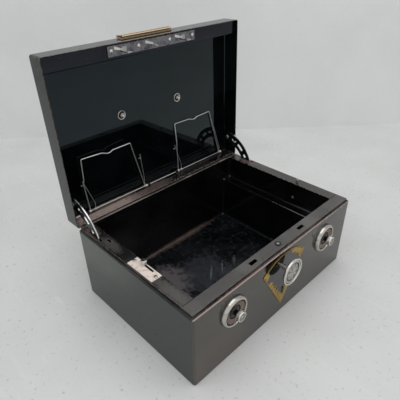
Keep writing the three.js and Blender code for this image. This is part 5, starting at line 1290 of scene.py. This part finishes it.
# The flap's middle between its rolled edges, and its faces more than 1.7 mm under its top, take the
# dark gilt: painted shade under the roll.
in_fold = (spots[:, 1] > pull_low[1] + ROLL) & (spots[:, 1] < pull_high[1] - ROLL)
in_shade = spots[:, 2] < pull_high[2] - SHADE_DEPTH
add_finish(pull_grip, gilt_in_painted_shade, in_fold | in_shade)

# Rim fittings: an alarm switch that slides in a bright plate, the lock's button and the
# sprung plunger that the lid presses down. All are small turned or pressed pieces in nickel.

UP = np.array([0.0, 0.0, 1.0])
cream_nickel = plated("creamy_nickel_plate", "#f6ece4", 0.75, "#fbf4ee", stain="#9a8a80", dirt=0.4)
softened("switch_cover", "switch_plate", 0.2, cream_nickel)


def turned_top(name, node, centre, profile, finish=dull_nickel):
    """A small nickel piece turned on an upright axis, which stands for the node."""
    points = turned(bent_line(profile, 0.35, 4, 0.1), np.array(centre, float), UP, 32)
    return surface_piece(
        name, [tube(points)], body_name(node), finish, [node], sharp=40
    )


turned_top(
    "switch_button", "switch_knob", (-179, -14, 0),
    [
        (0.01, 141), (1.4, 141), (1.4, 144.2), (3.9, 144.3), (3.9, 146.2), (2.4, 147),
        (2.4, 148.4), (4.9, 149.2), (5, 151), (3.8, 152.6), (0.01, 153),
    ],
    nickel,
)
for end, y in (("front", -47), ("back", 3)):
    turned_top(
        f"switch_screw_{end}_head", f"switch_screw_{end}", (-184, y, 0),
        [(0.01, 139.6), (1.3, 139.6), (1.3, 144), (3.2, 144), (3, 144.9), (1.6, 145.6), (0.01, 145.7)],
    )
turned_top(
    "lock_button_guide", "button_guide", (0, -124.5, 0),
    [(3.65, 131.6), (4.4, 131.6), (4.4, 142.8), (5.4, 142.8), (5.3, 143.3), (3.65, 143.2)],
    hub_lacquer_and_painted_shade,
)
turned_top(
    "lock_button", "centre_button", (0, -124.5, 0),
    [(0.01, 126.3), (1.6, 126.3), (1.6, 140.5), (3.1, 141), (3.1, 142.6), (2.2, 143.5), (0.01, 143.6)],
)
turned_top(
    "sprung_plunger", "lid_plunger", (183.4, -35.7, 0),
    [
        (0.01, 108.9), (2, 108.9), (2, 146.6), (3.3, 147.1), (3.2, 148.8), (2, 150),
        (0.01, 150.2),
    ],
)

# Inner works and hinge: the lock, the key lock, the alarm bell and the dials' bushes are plain
# pressings that keep the frame's own shape, in steel, brass or spring wire. The long hinge's
# two leaves are lacquered with the box.

spring_steel = plated("blued_spring_steel", "#5d6068", 0.25, "#8a8d94", stain="#3a3430")
cold_steel = plated("cold_rolled_steel", "#8f8f8d", 0.35, "#b0aea8", stain="#5f5246", dirt=0.8)
bell_brass = plated("spun_bell_brass", "#b59458", 0.25, "#d3b67c", stain="#6e5530")
inner_finish = {
    "spring": spring_steel,
    "bush": brass,
    "tumbler": brass,
    "gong": bell_brass,
    "leaf": lid_lacquer,
}
for name, node in frame["nodes"].items():
    chosen = [finish for word, finish in inner_finish.items() if word in name]
    node.data.materials.clear()
    node.data.materials.append(chosen[0] if chosen else cold_steel)
